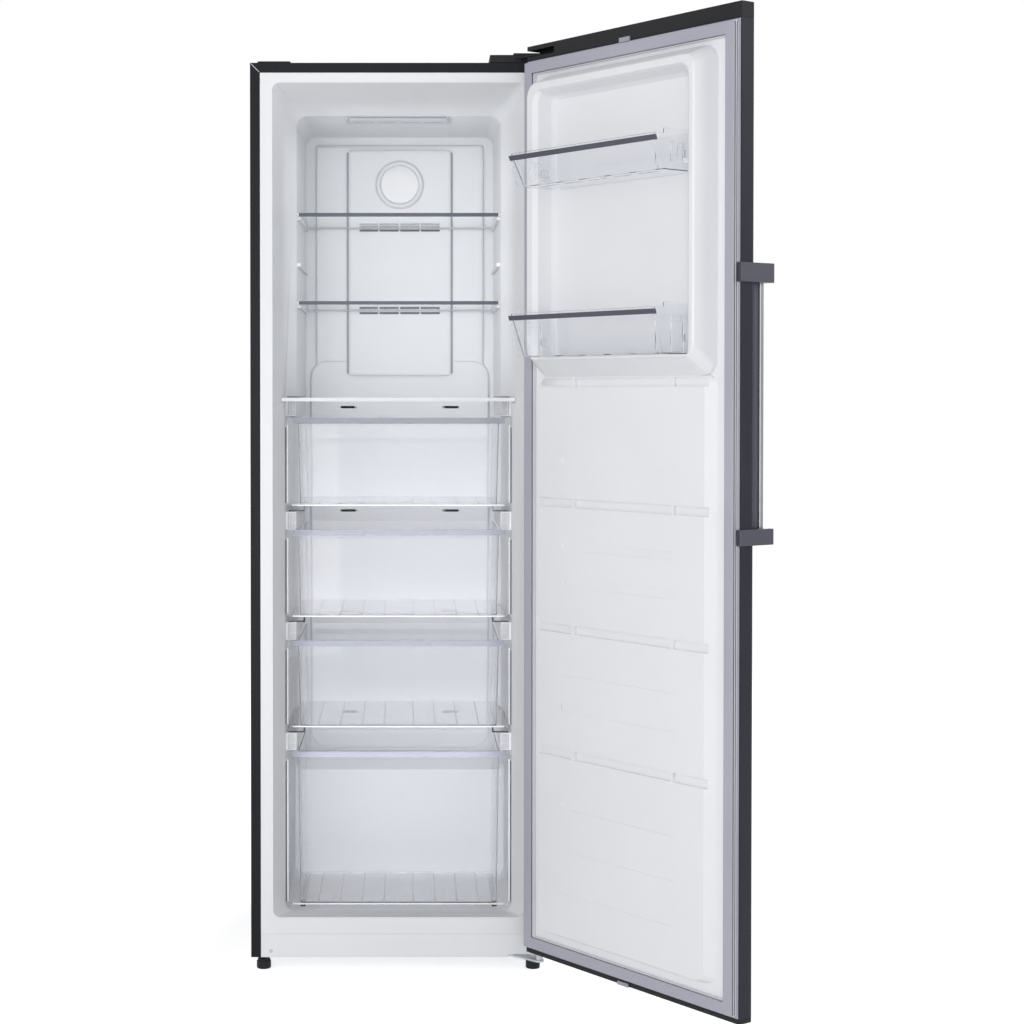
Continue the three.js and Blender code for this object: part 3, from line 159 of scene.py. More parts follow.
finishes = {
    "casing_steel": grainedMaterial("charcoalSteel", (0.0090, 0.0094, 0.0118), (0.0120, 0.0125, 0.0152),
                                    (0.34, 0.48), 0,
                                    {"scale": 260, "stretch": (1, 1, 0.02), "strength": 0.06, "distance": 0.0002,
                                     "gloss": 0.14}),
    "black_plastic": grainedMaterial("blackGrainedPlastic", (0.0090, 0.0092, 0.0115), (0.0130, 0.0133, 0.0160),
                                     (0.45, 0.62), 0,
                                     {"scale": 1400, "strength": 0.25, "distance": 0.0003, "gloss": 0.24}),
    "white_liner": grainedMaterial("whiteVacuumFormed", (0.815, 0.824, 0.845), (0.840, 0.848, 0.866),
                                   (0.30, 0.40), 0,
                                   {"scale": 160, "strength": 0.04, "distance": 0.0004}),
    "grey_trim": grainedMaterial("slateTrim", (0.051, 0.053, 0.076), (0.062, 0.064, 0.088),
                                 (0.30, 0.40), 0,
                                 {"scale": 700, "strength": 0.06, "distance": 0.0002}),
    "gasket_rubber": grainedMaterial("lilacGasket", (0.385, 0.389, 0.450), (0.425, 0.429, 0.490),
                                     (0.50, 0.64), 0,
                                     {"scale": 420, "strength": 0.12, "distance": 0.0003}),
    "clear_plastic": clearMaterial("clearStyrene", (0.984, 0.986, 0.992), (0.0, 0.012), 1.26, 0.03,
                                   (0.965, 0.967, 0.975)),
    "shelf_glass": clearMaterial("temperedGlass", (0.965, 0.985, 0.98), (0.0, 0.01), 1.05, 0.015,
                                 (0.96, 0.97, 0.97)),
    "bar_steel": grainedMaterial("brushedBar", (0.26, 0.26, 0.285), (0.31, 0.31, 0.335),
                                 (0.24, 0.34), 0.9,
                                 {"scale": 500, "stretch": (1, 1, 0.03), "strength": 0.06, "distance": 0.0002}),
    "zinc_steel": grainedMaterial("zincSteel", (0.42, 0.44, 0.47), (0.50, 0.52, 0.55),
                                  (0.30, 0.46), 0.9,
                                  {"scale": 60, "driftScale": 45, "strength": 0.06, "distance": 0.0002}),
    "foam": grainedMaterial("amberFoam", (0.60, 0.50, 0.26), (0.72, 0.62, 0.36), (0.85, 0.95), 0,
                            {"scale": 500, "strength": 0.6, "distance": 0.001}),
    "aluminium": grainedMaterial("finAluminium", (0.55, 0.56, 0.58), (0.66, 0.67, 0.69), (0.25, 0.4), 1,
                                 {"scale": 300, "strength": 0.1, "distance": 0.0002}),
    "compressor_paint": grainedMaterial("compressorPaint", (0.010, 0.010, 0.011), (0.016, 0.016, 0.018),
                                        (0.25, 0.4), 0.1,
                                        {"scale": 200, "strength": 0.1, "distance": 0.0003}),
    "black_rubber": grainedMaterial("blackRubber", (0.010, 0.010, 0.011), (0.018, 0.018, 0.020), (0.6, 0.8), 0,
                                    {"scale": 600, "strength": 0.2, "distance": 0.0003}),
}
# finishes of single features, each in the slot of the piece that has it
smokyClear = clearMaterial("smokyStyrene", (0.80, 0.81, 0.86), (0.06, 0.12), 1.28, 0.45,
                           (0.80, 0.81, 0.85), (0.42, 0.43, 0.49))
frostedLamp = clearMaterial("frostedLamp", (0.96, 0.965, 0.98), (0.30, 0.45), 1.3, 0.55,
                            (0.85, 0.86, 0.88), (0.78, 0.79, 0.82))
# a lighter copy of the casing's charcoal steel for the door skin: painted light on the door
doorSteelPaintedLight = grainedMaterial("doorCharcoalPaintedLight", (0.0240, 0.0246, 0.0350), (0.0300, 0.0306, 0.0420), (0.34, 0.48), 0,
                            {"scale": 260, "stretch": (1, 1, 0.02), "strength": 0.06, "distance": 0.0002,
                             "gloss": 0.14})
polishedWhite = grainedMaterial("polishedWhite", (0.74, 0.747, 0.765), (0.77, 0.777, 0.795), (0.16, 0.22), 0,
                                {"scale": 160, "strength": 0.02, "distance": 0.0003, "gloss": 1.0})
# a dark grey: painted shade on the air panel's slot floors, and the dark seam line of the lamp cover
slotShadeAndSeam = grainedMaterial("slotShadeAndSeam", (0.17, 0.172, 0.205), (0.21, 0.212, 0.25), (0.6, 0.8), 0,
                            {"scale": 200, "strength": 0.05, "distance": 0.0002})
# a dark grey for the strips beside the drawer fronts: painted shade in the gaps
gapShadePaint = grainedMaterial("drawerGapShadePaint", (0.085, 0.086, 0.105), (0.11, 0.112, 0.135), (0.5, 0.7), 0,
                            {"scale": 300, "strength": 0.06, "distance": 0.0002})
# a milky clear for the drawer fronts' edges: painted highlight
edgeHighlightPaint = clearMaterial("drawerEdgePaintedHighlight", (0.98, 0.982, 0.99), (0.02, 0.05), 1.3, 0.5,
                           (0.95, 0.955, 0.97), (0.93, 0.935, 0.95))
# a darker copy of the gasket rubber: painted shade in the gasket's creases
foldShade = grainedMaterial("gasketFoldShade", (0.050, 0.051, 0.066), (0.070, 0.071, 0.088), (0.6, 0.8), 0,
                            {"scale": 420, "strength": 0.08, "distance": 0.0003})
# grey for the rib stop plates: partly their own colour, partly painted shade on the rib ends
ribStopGreyWithShade = grainedMaterial("ribStopGreyWithShade", (0.52, 0.525, 0.545), (0.56, 0.565, 0.585), (0.4, 0.55), 0,
                           {"scale": 300, "strength": 0.06, "distance": 0.0002})
plugGrey = grainedMaterial("palePlug", (0.33, 0.335, 0.39), (0.38, 0.385, 0.44), (0.35, 0.5), 0,
                           {"scale": 300, "strength": 0.06, "distance": 0.0002})
# a lighter copy of the gasket rubber: painted light on the gasket's folds and fin
litGasketPaint = grainedMaterial("gasketPaintedLight", (0.66, 0.665, 0.70), (0.72, 0.725, 0.76), (0.45, 0.6), 0,
                             {"scale": 420, "strength": 0.08, "distance": 0.0003})

slotOf = {entry["node"]: entry["material_slot"] for entry in frame["record"]["subparts"]}
bodyOf = {node: body for body, members in frame["record"]["behaviour"]["bodies"].items() for node in members}
for name, node in nodes.items():
    node.data.materials.clear()
    node.data.materials.append(finishes[slotOf[name]])
print("materials made:", len(finishes))


def pickOnly(piece):
    if bpy.context.object and bpy.context.object.mode != "OBJECT":
        bpy.ops.object.mode_set(mode="OBJECT")
    bpy.ops.object.select_all(action="DESELECT")
    piece.select_set(True)
    bpy.context.view_layer.objects.active = piece


def applyModifier(piece, kind, **settings):
    pickOnly(piece)
    modifier = piece.modifiers.new(kind.title(), kind)
    for key, value in settings.items():
        setattr(modifier, key, value)
    bpy.ops.object.modifier_apply(modifier=modifier.name)


# Bevels the folds sharper than `angle`, and shades those under `smoothUnder` as one surface.
def softenEdges(piece, width, segments=2, angle=32, smoothUnder=50):
    applyModifier(piece, "BEVEL", width=width / 1000, segments=segments, limit_method="ANGLE",
                  angle_limit=math.radians(angle), use_clamp_overlap=True, harden_normals=False)
    pickOnly(piece)
    bpy.ops.object.shade_smooth_by_angle(angle=math.radians(smoothUnder))
    applyModifier(piece, "WEIGHTED_NORMAL", keep_sharp=True, weight=100)


# How far each edge is folded, in degrees.
def foldAngles(mesh):
    normals = {}
    for polygon in mesh.polygons:
        for key in polygon.edge_keys:
            normals.setdefault(key, []).append(polygon.normal)
    return {key: math.degrees(pair[0].angle(pair[1])) for key, pair in normals.items() if len(pair) == 2}


# Rounds the edges that pass the test, which gets both ends in cabinet axes and the angle of the fold.
def roundEdges(piece, test, width, segments=3, onDoor=False):
    shut = doorTurn.inverted() if onDoor else Matrix()
    ends = [(shut @ vertex.co - cabinetOrigin) * 1000 for vertex in piece.data.vertices]
    folds = foldAngles(piece.data)
    pickOnly(piece)
    bpy.ops.object.mode_set(mode="EDIT")
    bpy.ops.mesh.select_mode(type="EDGE")
    bpy.ops.mesh.select_all(action="DESELECT")
    bpy.ops.object.mode_set(mode="OBJECT")
    for edge in piece.data.edges:
        a, b = edge.vertices
        edge.select = test(ends[a], ends[b], folds.get(edge.key, 0))
    bpy.ops.object.mode_set(mode="EDIT")
    bpy.ops.mesh.bevel(offset=width / 1000, segments=segments, affect="EDGES", clamp_overlap=True)
    bpy.ops.object.mode_set(mode="OBJECT")


# Gives a finished piece its material, its body and its place in the frame.
def settle(piece, node, slot=None, finish=None):
    slot = slot or slotOf[node]
    piece.data.materials.clear()
    piece.data.materials.append(finish or finishes[slot])
    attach(piece, bodyOf[node])
    return piece


foldLimits = {"least": 8, "steepest": 75, "rim": 40, "sameDepth": 0.2}


# Tests for roundEdges: creases that run round a formed sheet at some depths (mm behind the cabinet's
# front), and the outer rim of a cover at one depth, beyond a reach sideways or above a height.
def creasesAt(depths):
    near = foldLimits["sameDepth"]
    return lambda a, b, fold: (foldLimits["least"] < fold < foldLimits["steepest"]
                               and any(abs(a.y - y) < near and abs(b.y - y) < near for y in depths))


def rimAt(depth, reach, height):
    near = foldLimits["sameDepth"]
    return lambda a, b, fold: (fold > foldLimits["rim"] and abs(a.y - depth) < near and abs(b.y - depth) < near
                               and (min(abs(a.x), abs(b.x)) > reach or min(a.z, b.z) > height))


upperCoverLow = cabinetBox("rear_duct_cover")[0]
lowerCoverLow = cabinetBox("lower_duct_cover")[0]
# the edges of formed sheets that are rounded, and how far in mm
roundings = {
    "inner_liner": [(creasesAt([45, 125]), 4.5)],
    "door_liner": [(creasesAt([38]), 3.0), (creasesAt([31, 3, -6]), 4.5), (creasesAt([-2]), 2.0)],
    "rear_duct_cover": [(rimAt(upperCoverLow.y, 178, 1712), 4.0)],
    "lower_duct_cover": [(rimAt(lowerCoverLow.y, 150, 1236), 4.0)],
}
# sheets whose shallow steps stay crisp: folds above this angle aren't shaded as one surface
flatFaced = {"door_liner": 14}
# the door skin gets the lighter charcoal, painted light
paintedLightFinishes = {"door_skin": doorSteelPaintedLight}
cleaning = {"mergeWithin": 0.01, "flatWithin": 0.4}  # mm, degrees


ridgeShape = {"floor": -2.9, "deeper": 0.9, "reach": 180, "below": 1190}


# Sinks the floors of the door liner's shallow ridges a little further, so that they catch the light.
def deepenRidges(piece):
    shut = doorTurn.inverted()
    for vertex in piece.data.vertices:
        place = (shut @ vertex.co - cabinetOrigin) * 1000
        if (abs(place.y - ridgeShape["floor"]) < 0.1 and abs(place.x) < ridgeShape["reach"]
                and place.z < ridgeShape["below"]):
            place.y -= ridgeShape["deeper"]
            vertex.co = doorTurn @ (place / 1000 + cabinetOrigin)


# A copy of a node's solid with its doubles merged, its flat faces made whole and its edges softened.
def finishNode(node, width, finish=None):
    source = nodes[node]
    piece = source.copy()
    piece.data = source.data.copy()
    piece.name = node + "_finish"
    piece.parent = None
    for key in [key for key in piece.keys() if key.startswith("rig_")]:
        del piece[key]
    scene.collection.objects.link(piece)
    pickOnly(piece)
    bpy.ops.object.mode_set(mode="EDIT")
    bpy.ops.mesh.select_all(action="SELECT")
    bpy.ops.mesh.remove_doubles(threshold=cleaning["mergeWithin"] / 1000)
    bpy.ops.mesh.dissolve_limited(angle_limit=math.radians(cleaning["flatWithin"]))
    bpy.ops.object.mode_set(mode="OBJECT")
    if node == "door_liner":
        deepenRidges(piece)
    for test, rounding in roundings.get(node, []):
        roundEdges(piece, test, rounding, 6 if node in flatFaced else 3, bodyOf[node] == "door")
    softenEdges(piece, width, smoothUnder=flatFaced.get(node, 50))
    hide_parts(node)
    return settle(piece, node, finish=finish or paintedLightFinishes.get(node))


# How far each node's edges are softened, in mm.
edgeSoftness = {
    "outer_wrapper": 0.35, "inner_liner": 1.0, "back_panel": 0.3, "toe_panel": 0.5,
    "blank_hinge_cap": 0.6, "bottom_hinge_bracket": 0.6,
    "base_frame": 0.3, "machine_cover": 0.3, "rear_duct_cover": 0.8, "lower_duct_cover": 0.8,
    "shelf_glass_upper": 0.5, "shelf_glass_lower": 0.5, "drawer_cover_glass": 0.5,
    "shelf_front_trim_upper": 0.8, "shelf_front_trim_lower": 0.8,
    "shelf_rear_trim_upper": 0.8, "shelf_rear_trim_lower": 0.8, "drawer_cover_trim": 0.8,
    "door_skin": 0.35, "door_top_cap": 1.0, "door_bottom_cap": 0.8, "door_liner": 1.0,
    "door_bin_upper": 0.6, "door_bin_lower": 0.6, "bin_trim_upper": 0.5, "bin_trim_lower": 0.5,
    "handle_bracket_upper": 1.2, "handle_bracket_lower": 1.2,
    "front_foot_left": 0.4, "front_foot_right": 0.4, "rear_roller_left": 0.4, "rear_roller_right": 0.4,
}
for i in range(1, 5):
    edgeSoftness["drawer_tub_%d" % i] = 0.7
    edgeSoftness["drawer_front_%d" % i] = 0.7

for node, width in edgeSoftness.items():
    finishNode(node, width)
finishNode("top_hinge_bracket", 0.5, finishes["black_plastic"])  # painted with the hinge cover
print("nodes finished:", len(edgeSoftness) + 1)


def addBlock(name, low, high):
    low, high = spot(*low), spot(*high)
    bpy.ops.mesh.primitive_cube_add(size=1, location=(low + high) / 2)
    block = bpy.context.object
    block.name = name
    block.scale = high - low
    bpy.ops.object.transform_apply(location=True, rotation=True, scale=True)
    return block


# Leaves edit mode open on the faces that pass the test.
def pickFaces(piece, test):
    pickOnly(piece)
    bpy.ops.object.mode_set(mode="EDIT")
    bpy.ops.mesh.select_mode(type="FACE")
    bpy.ops.mesh.select_all(action="DESELECT")
    bpy.ops.object.mode_set(mode="OBJECT")
    for polygon in piece.data.polygons:
        polygon.select = test(polygon)
    bpy.ops.object.mode_set(mode="EDIT")


def facing(axis):
    direction = Vector(axis)
    return lambda polygon: polygon.normal.dot(direction) > 0.9


def facingBothWays(axis):
    direction = Vector(axis)
    return lambda polygon: abs(polygon.normal.dot(direction)) > 0.9


# A rectangular frame from low to high, open along the axis, with sides of the given width.
def addFrame(name, low, high, width, axis):
    frameBlock = addBlock(name, low, high)
    pickFaces(frameBlock, facingBothWays(axis))
    bpy.ops.mesh.inset(thickness=width / 1000, use_even_offset=True, use_individual=True)
    bpy.ops.mesh.bridge_edge_loops()
    bpy.ops.object.mode_set(mode="OBJECT")
    return frameBlock


def joinPieces(name, parts):
    pickOnly(parts[0])
    for part in parts:
        part.select_set(True)
    if len(parts) > 1:
        bpy.ops.object.join()
    parts[0].name = name
    return parts[0]


# A round bar between two points that differ along one axis.
def addRod(name, start, end, radius, vertices=48):
    start, end = spot(*start), spot(*end)
    turn = (end - start).to_track_quat("Z", "Y").to_euler()
    bpy.ops.mesh.primitive_cylinder_add(vertices=vertices, radius=radius / 1000, depth=(end - start).length,
                                        location=(start + end) / 2, rotation=turn)
    rod = bpy.context.object
    rod.name = name
    bpy.ops.object.transform_apply(location=True, rotation=True, scale=True)
    return rod


# From the shut door's place to the photograph's.
def swingOpen(piece):
    piece.data.transform(doorTurn)
    piece.data.update()
    return piece


gasketShape = {
    "inset": 7, "width": 21.5,  # from the door's edges, and the strip's own width
    # drawn in from both sides, front and back depth of each fold
    "folds": [(0, -0.6, -4.5), (1.0, -4.5, -6.9), (0.4, -6.9, -9.1), (1.1, -9.1, -11.3), (0.3, -11.3, -13.6)],
    "softness": (1.2, 0.3, 0.7, 0.3, 0.6),
    # the creases are painted in shade and the folds that catch the light are painted lit
    "shaded": (1, 3), "litFolds": (2, 4),  # the creases between the folds, and the folds that catch the light
    "flange": (2.2, 5.2, -12.9, -13.9),  # inset, width, front and back
    "fin": (29.6, 1.8, -4.2, -12),
    "doorLow": (-297.5, 54.6), "doorHigh": (297.5, 1826.5),  # X and Z of the door skin's corners
    "flangeSoftness": 0.3, "finSoftness": 0.5,
}


def addDoorRing(name, inset, width, front, back, softness):
    (x0, z0), (x1, z1) = gasketShape["doorLow"], gasketShape["doorHigh"]
    ring = addFrame(name, (x0 + inset, back, z0 + inset), (x1 - inset, front, z1 - inset), width, (0, 1, 0))
    softenEdges(ring, softness, 3)
    return ring


# The gasket: its face, the creases behind it in painted shade, the folds behind it in painted light, and the fin
# inside it, also in painted light.
def addGasket():
    rings = []
    for i, (drawIn, front, back) in enumerate(gasketShape["folds"]):
        rings.append(addDoorRing("door_gasket_fold_%d" % i, gasketShape["inset"] + drawIn,
                                 gasketShape["width"] - 2 * drawIn, front, back, gasketShape["softness"][i]))
    flange = addDoorRing("door_gasket_flange", *gasketShape["flange"], gasketShape["flangeSoftness"])
    face = swingOpen(joinPieces("door_gasket_face", [rings[0], flange]))
    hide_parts("door_gasket")
    settle(face, "door_gasket")
    for name, picked, finish in (("door_gasket_creases", gasketShape["shaded"], foldShade),
                                 ("door_gasket_bellows", gasketShape["litFolds"], litGasketPaint)):
        settle(swingOpen(joinPieces(name, [rings[i] for i in picked])), "door_gasket", finish=finish)
    fin = swingOpen(addDoorRing("door_gasket_fin", *gasketShape["fin"], gasketShape["finSoftness"]))
    settle(fin, "door_gasket", finish=litGasketPaint)


medallionShape = {"centre": (0, 457.4, 1632), "radius": 53.7, "rise": 3.2,
                  # rings turned in its face, from the edge inwards: width and step of each
                  "steps": [(0.8, 0.9), (1.6, 1.3), (2.2, 1.0), (2.4, 0.3), (2.2, -0.7), (1.8, -1.3), (1.2, -1.6),
                            (0.7, -0.2), (0.7, 0.5), (22, 0.5)]}


# The round cover over the fan.
def addMedallion():
    centre = Vector(medallionShape["centre"])
    middle = spot(centre.x, centre.y - medallionShape["rise"] / 2, centre.z)
    bpy.ops.mesh.primitive_cylinder_add(vertices=128, radius=medallionShape["radius"] / 1000,
                                        depth=medallionShape["rise"] / 1000, location=middle,
                                        rotation=(math.radians(90), 0, 0))
    medallion = bpy.context.object
    bpy.ops.object.transform_apply(location=True, rotation=True, scale=True)
    medallion.name = "fan_cover_rings"
    pickFaces(medallion, facing((0, -1, 0)))
    for thickness, depth in medallionShape["steps"]:
        bpy.ops.mesh.inset(thickness=thickness / 1000, depth=depth / 1000)
    bpy.ops.object.mode_set(mode="OBJECT")
    softenEdges(medallion, 0.3, 2, 40)
    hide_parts("fan_medallion")
    return settle(medallion, "fan_medallion", finish=polishedWhite)


ribShape = {"places": (-165, -120, -75, -30, 30, 75, 120, 165), "width": 2.4, "rise": 1.6, "softness": 0.5,
            "front": 82, "back": {1: 396, 2: 396, 3: 396, 4: 318}, "floor": 3.2}  # above the front's lower edge


# The ribs on a drawer's floor.
def addDrawerRibs(number):
    low, high = cabinetBox("drawer_front_%d" % number)
    floorTop = low.z + ribShape["floor"]
    half = ribShape["width"] / 2
    ribs = []
    for place in ribShape["places"]:
        rib = addBlock("rib", (place - half, ribShape["front"], floorTop),
                       (place + half, ribShape["back"][number], floorTop + ribShape["rise"]))
        softenEdges(rib, ribShape["softness"])
        ribs.append(rib)
    return settle(joinPieces("drawer_floor_ribs_%d" % number, ribs), "drawer_tub_%d" % number)


railShape = {"height": 12, "inset": 11, "thickness": 0.5, "clear": 0.05, "belowTop": 0.8, "softness": 0.2}


# The tinted strip along a drawer front's grip rail.
def addDrawerRail(number):
    low, high = cabinetBox("drawer_front_%d" % number)
    strip = addBlock("drawer_rail_strip_%d" % number,
                     (low.x + railShape["inset"], low.y - railShape["thickness"], high.z - railShape["height"]),
                     (high.x - railShape["inset"], low.y - railShape["clear"], high.z - railShape["belowTop"]))
    softenEdges(strip, railShape["softness"])
    return settle(strip, "drawer_front_%d" % number, finish=smokyClear)


edgeShape = {
    "side": 3.2, "sideInset": 0.4, "sideBottom": 7, "belowRail": 4,
    "bottom": 3.4, "bottomInset": 12, "bottomStart": 0.2, "proud": 0.35, "clear": 0.02, "softness": 0.15,
}
gapShadeShape = {"width": 1.7, "gap": 0.2, "depth": (1, 6), "bottom": 6, "belowTop": 21, "softness": 0.3}


# A drawer front's side and bottom edges in a milky clear that paints a highlight on them, and dark strips of
# painted shade in the gap beside it.
def addDrawerEdges(number):
    low, high = cabinetBox("drawer_front_%d" % number)
    front, back = low.y - edgeShape["proud"], low.y - edgeShape["clear"]
    top = high.z - railShape["height"] - edgeShape["belowRail"]
    # milky strips along the front's bottom and sides: painted highlight
    edges = [addBlock("edge", (low.x + edgeShape["bottomInset"], front, low.z + edgeShape["bottomStart"]),
                      (high.x - edgeShape["bottomInset"], back, low.z + edgeShape["bottom"]))]
    gapShades = []
    for side, face in ((-1, low.x), (1, high.x)):
        outer = face - side * edgeShape["sideInset"]
        x0, x1 = sorted((outer, outer - side * edgeShape["side"]))
        edges.append(addBlock("edge", (x0, front, low.z + edgeShape["sideBottom"]), (x1, back, top)))
        # a dark strip in the gap beside the front: painted shade
        inner = face + side * gapShadeShape["gap"]
        x0, x1 = sorted((inner, inner + side * gapShadeShape["width"]))
        gapShades.append(addBlock("gapShade", (x0, low.y + gapShadeShape["depth"][0], low.z + gapShadeShape["bottom"]),
                              (x1, low.y + gapShadeShape["depth"][1], high.z - gapShadeShape["belowTop"])))
    for parts, softness, name, finish in (
            (edges, edgeShape["softness"], "drawer_painted_edge_highlights_%d", edgeHighlightPaint),
            (gapShades, gapShadeShape["softness"], "drawer_gap_shades_%d", gapShadePaint)):
        for part in parts:
            softenEdges(part, softness)
        settle(joinPieces(name % number, parts), "drawer_front_%d" % number, finish=finish)


lampShape = {
    "edge": 7, "rise": 1.2, "softness": 0.8,
    "slots": 4, "slotLength": 40, "slotWidth": 3.2, "slotY": 176, "slotDepth": (-0.15, 0.4), "fineSoftness": 0.1,
    "pin": (104, 3.4, 1.2), "pinBelowTop": 0.4, "pinSoftness": 0.6,  # place, radius, how far it stands out
    "seamEnd": 4, "seamDepth": (-0.25, 0.5), "seamBelowTop": (2.4, 0.9),
}


# The ceiling lamp's cover: a frosted tray with a raised middle, vent slots and a pin at each end.
def addLampCover():
    low, high = cabinetBox("lamp_housing")
    cover = addBlock("lamp_cover", low + Vector((0, 0, lampShape["rise"])), high)
    pickFaces(cover, facing((0, 0, -1)))
    bpy.ops.mesh.inset(thickness=lampShape["edge"] / 1000)
    bpy.ops.mesh.extrude_region_move(TRANSFORM_OT_translate={"value": (0, 0, -lampShape["rise"] / 1000)})
    bpy.ops.object.mode_set(mode="OBJECT")
    softenEdges(cover, lampShape["softness"], 3)
    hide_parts("lamp_housing")
    settle(cover, "lamp_housing", finish=frostedLamp)
    details = []
    pitch = (high.x - low.x - 4 * lampShape["edge"]) / lampShape["slots"]
    for i in range(lampShape["slots"]):
        x = (i - (lampShape["slots"] - 1) / 2) * pitch
        half = lampShape["slotLength"] / 2
        slot = addBlock("lampSlot", (x - half, lampShape["slotY"], low.z + lampShape["slotDepth"][0]),
                        (x + half, lampShape["slotY"] + lampShape["slotWidth"], low.z + lampShape["slotDepth"][1]))
        softenEdges(slot, lampShape["fineSoftness"], 1)
        details.append(slot)
    place, radius, out = lampShape["pin"]
    height = high.z - radius - lampShape["pinBelowTop"]
    for side in (-1, 1):
        pin = addRod("lampPin", (side * place, low.y - out, height), (side * place, low.y + 1, height), radius, 24)
        softenEdges(pin, lampShape["pinSoftness"])
        details.append(pin)
    settle(joinPieces("lamp_cover_details", details), "lamp_housing", finish=smokyClear)
    end = place - lampShape["seamEnd"]
    (front, back), (under, over) = lampShape["seamDepth"], lampShape["seamBelowTop"]
    seam = addBlock("lamp_cover_seam", (-end, low.y + front, high.z - under), (end, low.y + back, high.z - over))
    softenEdges(seam, lampShape["fineSoftness"], 1)
    settle(seam, "lamp_housing", finish=slotShadeAndSeam)


capShape = {"inner": 2.6, "outer": 0.2, "front": 0.25, "rise": 0.15, "back": 1, "softness": 0.5}


# White stoppers on the ends of a shelf's front trim.
def addTrimCaps(level):
    low, high = cabinetBox("shelf_front_trim_" + level)
    caps = []
    for side, end in ((-1, low.x), (1, high.x)):
        x0, x1 = sorted((end - side * capShape["inner"], end + side * capShape["outer"]))
        cap = addBlock("trimCap", (x0, low.y - capShape["front"], low.z - capShape["rise"]),
                       (x1, high.y - capShape["back"], high.z + capShape["rise"]))
        softenEdges(cap, capShape["softness"])
        caps.append(cap)
    return settle(joinPieces("shelf_trim_caps_" + level, caps), "shelf_rear_trim_" + level)


seamShape = {"width": 1.0, "rise": 0.12, "sunk": 0.2, "start": 1.5, "end": 18.6, "softness": 0.05}


# The mitred seam at each upper corner of the casing's front lip.
def addCasingSeams():
    low, high = cabinetBox("outer_wrapper")
    length = (seamShape["end"] - seamShape["start"]) * math.sqrt(2)
    middle = (seamShape["end"] + seamShape["start"]) / 2
    seams = []
    for side in (-1, 1):
        seam = addBlock("seam", (-length / 2, -seamShape["rise"], -seamShape["width"] / 2),
                        (length / 2, seamShape["sunk"], seamShape["width"] / 2))
        corner = Vector((side * (high.x - middle), 0, high.z - middle)) / 1000
        turn = Matrix.Rotation(math.radians(side * -45), 4, "Y")
        seam.data.transform(Matrix.Translation(cabinetOrigin + corner) @ turn
                            @ Matrix.Translation(-cabinetOrigin))
        softenEdges(seam, seamShape["softness"], 1)
        seams.append(seam)
    return settle(joinPieces("casing_corner_seams", seams), "outer_wrapper", "zinc_steel")


screwShape = {"place": (-257.4, 38.7), "radius": 3.6, "rise": 1.1, "sunk": 0.4, "softness": 0.35,
              "socket": 1.5, "socketDepth": 0.7, "socketTaper": 0.2}


# The round-headed screw that holds the toe panel's free end.
def addToeScrew():
    x, z = screwShape["place"]
    face = cabinetBox("toe_panel")[0].y
    screw = addRod("toe_panel_screw", (x, face - screwShape["rise"], z), (x, face + screwShape["sunk"], z),
                   screwShape["radius"], 32)
    pickFaces(screw, facing((0, -1, 0)))
    bpy.ops.mesh.inset(thickness=(screwShape["radius"] - screwShape["socket"]) / 1000)
    bpy.ops.mesh.inset(thickness=screwShape["socketTaper"] / 1000, depth=-screwShape["socketDepth"] / 1000)
    bpy.ops.object.mode_set(mode="OBJECT")
    softenEdges(screw, screwShape["softness"])
    return settle(screw, "toe_panel", "zinc_steel")


stopShape = {"ribFront": 75, "ribs": [(1120, 1152), (886, 923), (660, 696), (433.6, 468.5)],
             "side": (210.6, 227.0), "groove": (223.0, 223.8), "rise": 0.9, "sunk": 0.1, "margin": 1.6,
             "seamPlace": 0.38, "halfSeam": 0.4, "softness": 0.25}


# Stop plates on the front ends of the wall ribs that carry the drawers: two beside a fine groove from a third.
# Their grey is partly the stops' own colour and partly painted shade that darkens the rib ends.
def addRibStops():
    plates = []
    front, back = stopShape["ribFront"] - stopShape["rise"], stopShape["ribFront"] + stopShape["sunk"]
    (inner, outer), (grooveIn, grooveOut) = stopShape["side"], stopShape["groove"]
    for low, high in stopShape["ribs"]:
        low, high = low + stopShape["margin"], high - stopShape["margin"]
        seam = low + (high - low) * stopShape["seamPlace"]
        spans = [(inner, grooveIn, low, seam - stopShape["halfSeam"]),
                 (inner, grooveIn, seam + stopShape["halfSeam"], high),
                 (grooveOut, outer, low, high)]
        for side in (-1, 1):
            for near, far, bottom, top in spans:
                x0, x1 = sorted((side * near, side * far))
                plate = addBlock("stopPlate", (x0, front, bottom), (x1, back, top))
                softenEdges(plate, stopShape["softness"])
                plates.append(plate)
    return settle(joinPieces("drawer_rib_stops", plates), "inner_liner", finish=ribStopGreyWithShade)


airPanel = {
    "half": 114.2, "rimRounding": 7,
    "slotEnds": (-89.8, 89.6), "bridges": (-46.9, -0.5, 45.8), "bridgeWidth": 3.2,
    "rows": (1547, 1530.2, 1362, 1346), "slotHeight": 4.6, "slotDepth": 2.0,
    "softness": 0.5, "shadeInset": 0.3, "shadeDepth": (0.5, 0.05), "shadeSoftness": 0.1,
    "strip": (114.3, 118.3), "stripDepth": (0.35, 2.2), "stripEnd": 5, "stripSoftness": 0.6,
}


# Each slot's left, right, lower and upper edge.
def airSlots():
    half = airPanel["bridgeWidth"] / 2
    stops = [airPanel["slotEnds"][0]]
    for bridge in airPanel["bridges"]:
        stops += [bridge - half, bridge + half]
    stops.append(airPanel["slotEnds"][1])
    rise = airPanel["slotHeight"] / 2
    return [(x0, x1, z - rise, z + rise) for z in airPanel["rows"] for x0, x1 in zip(stops[::2], stops[1::2])]
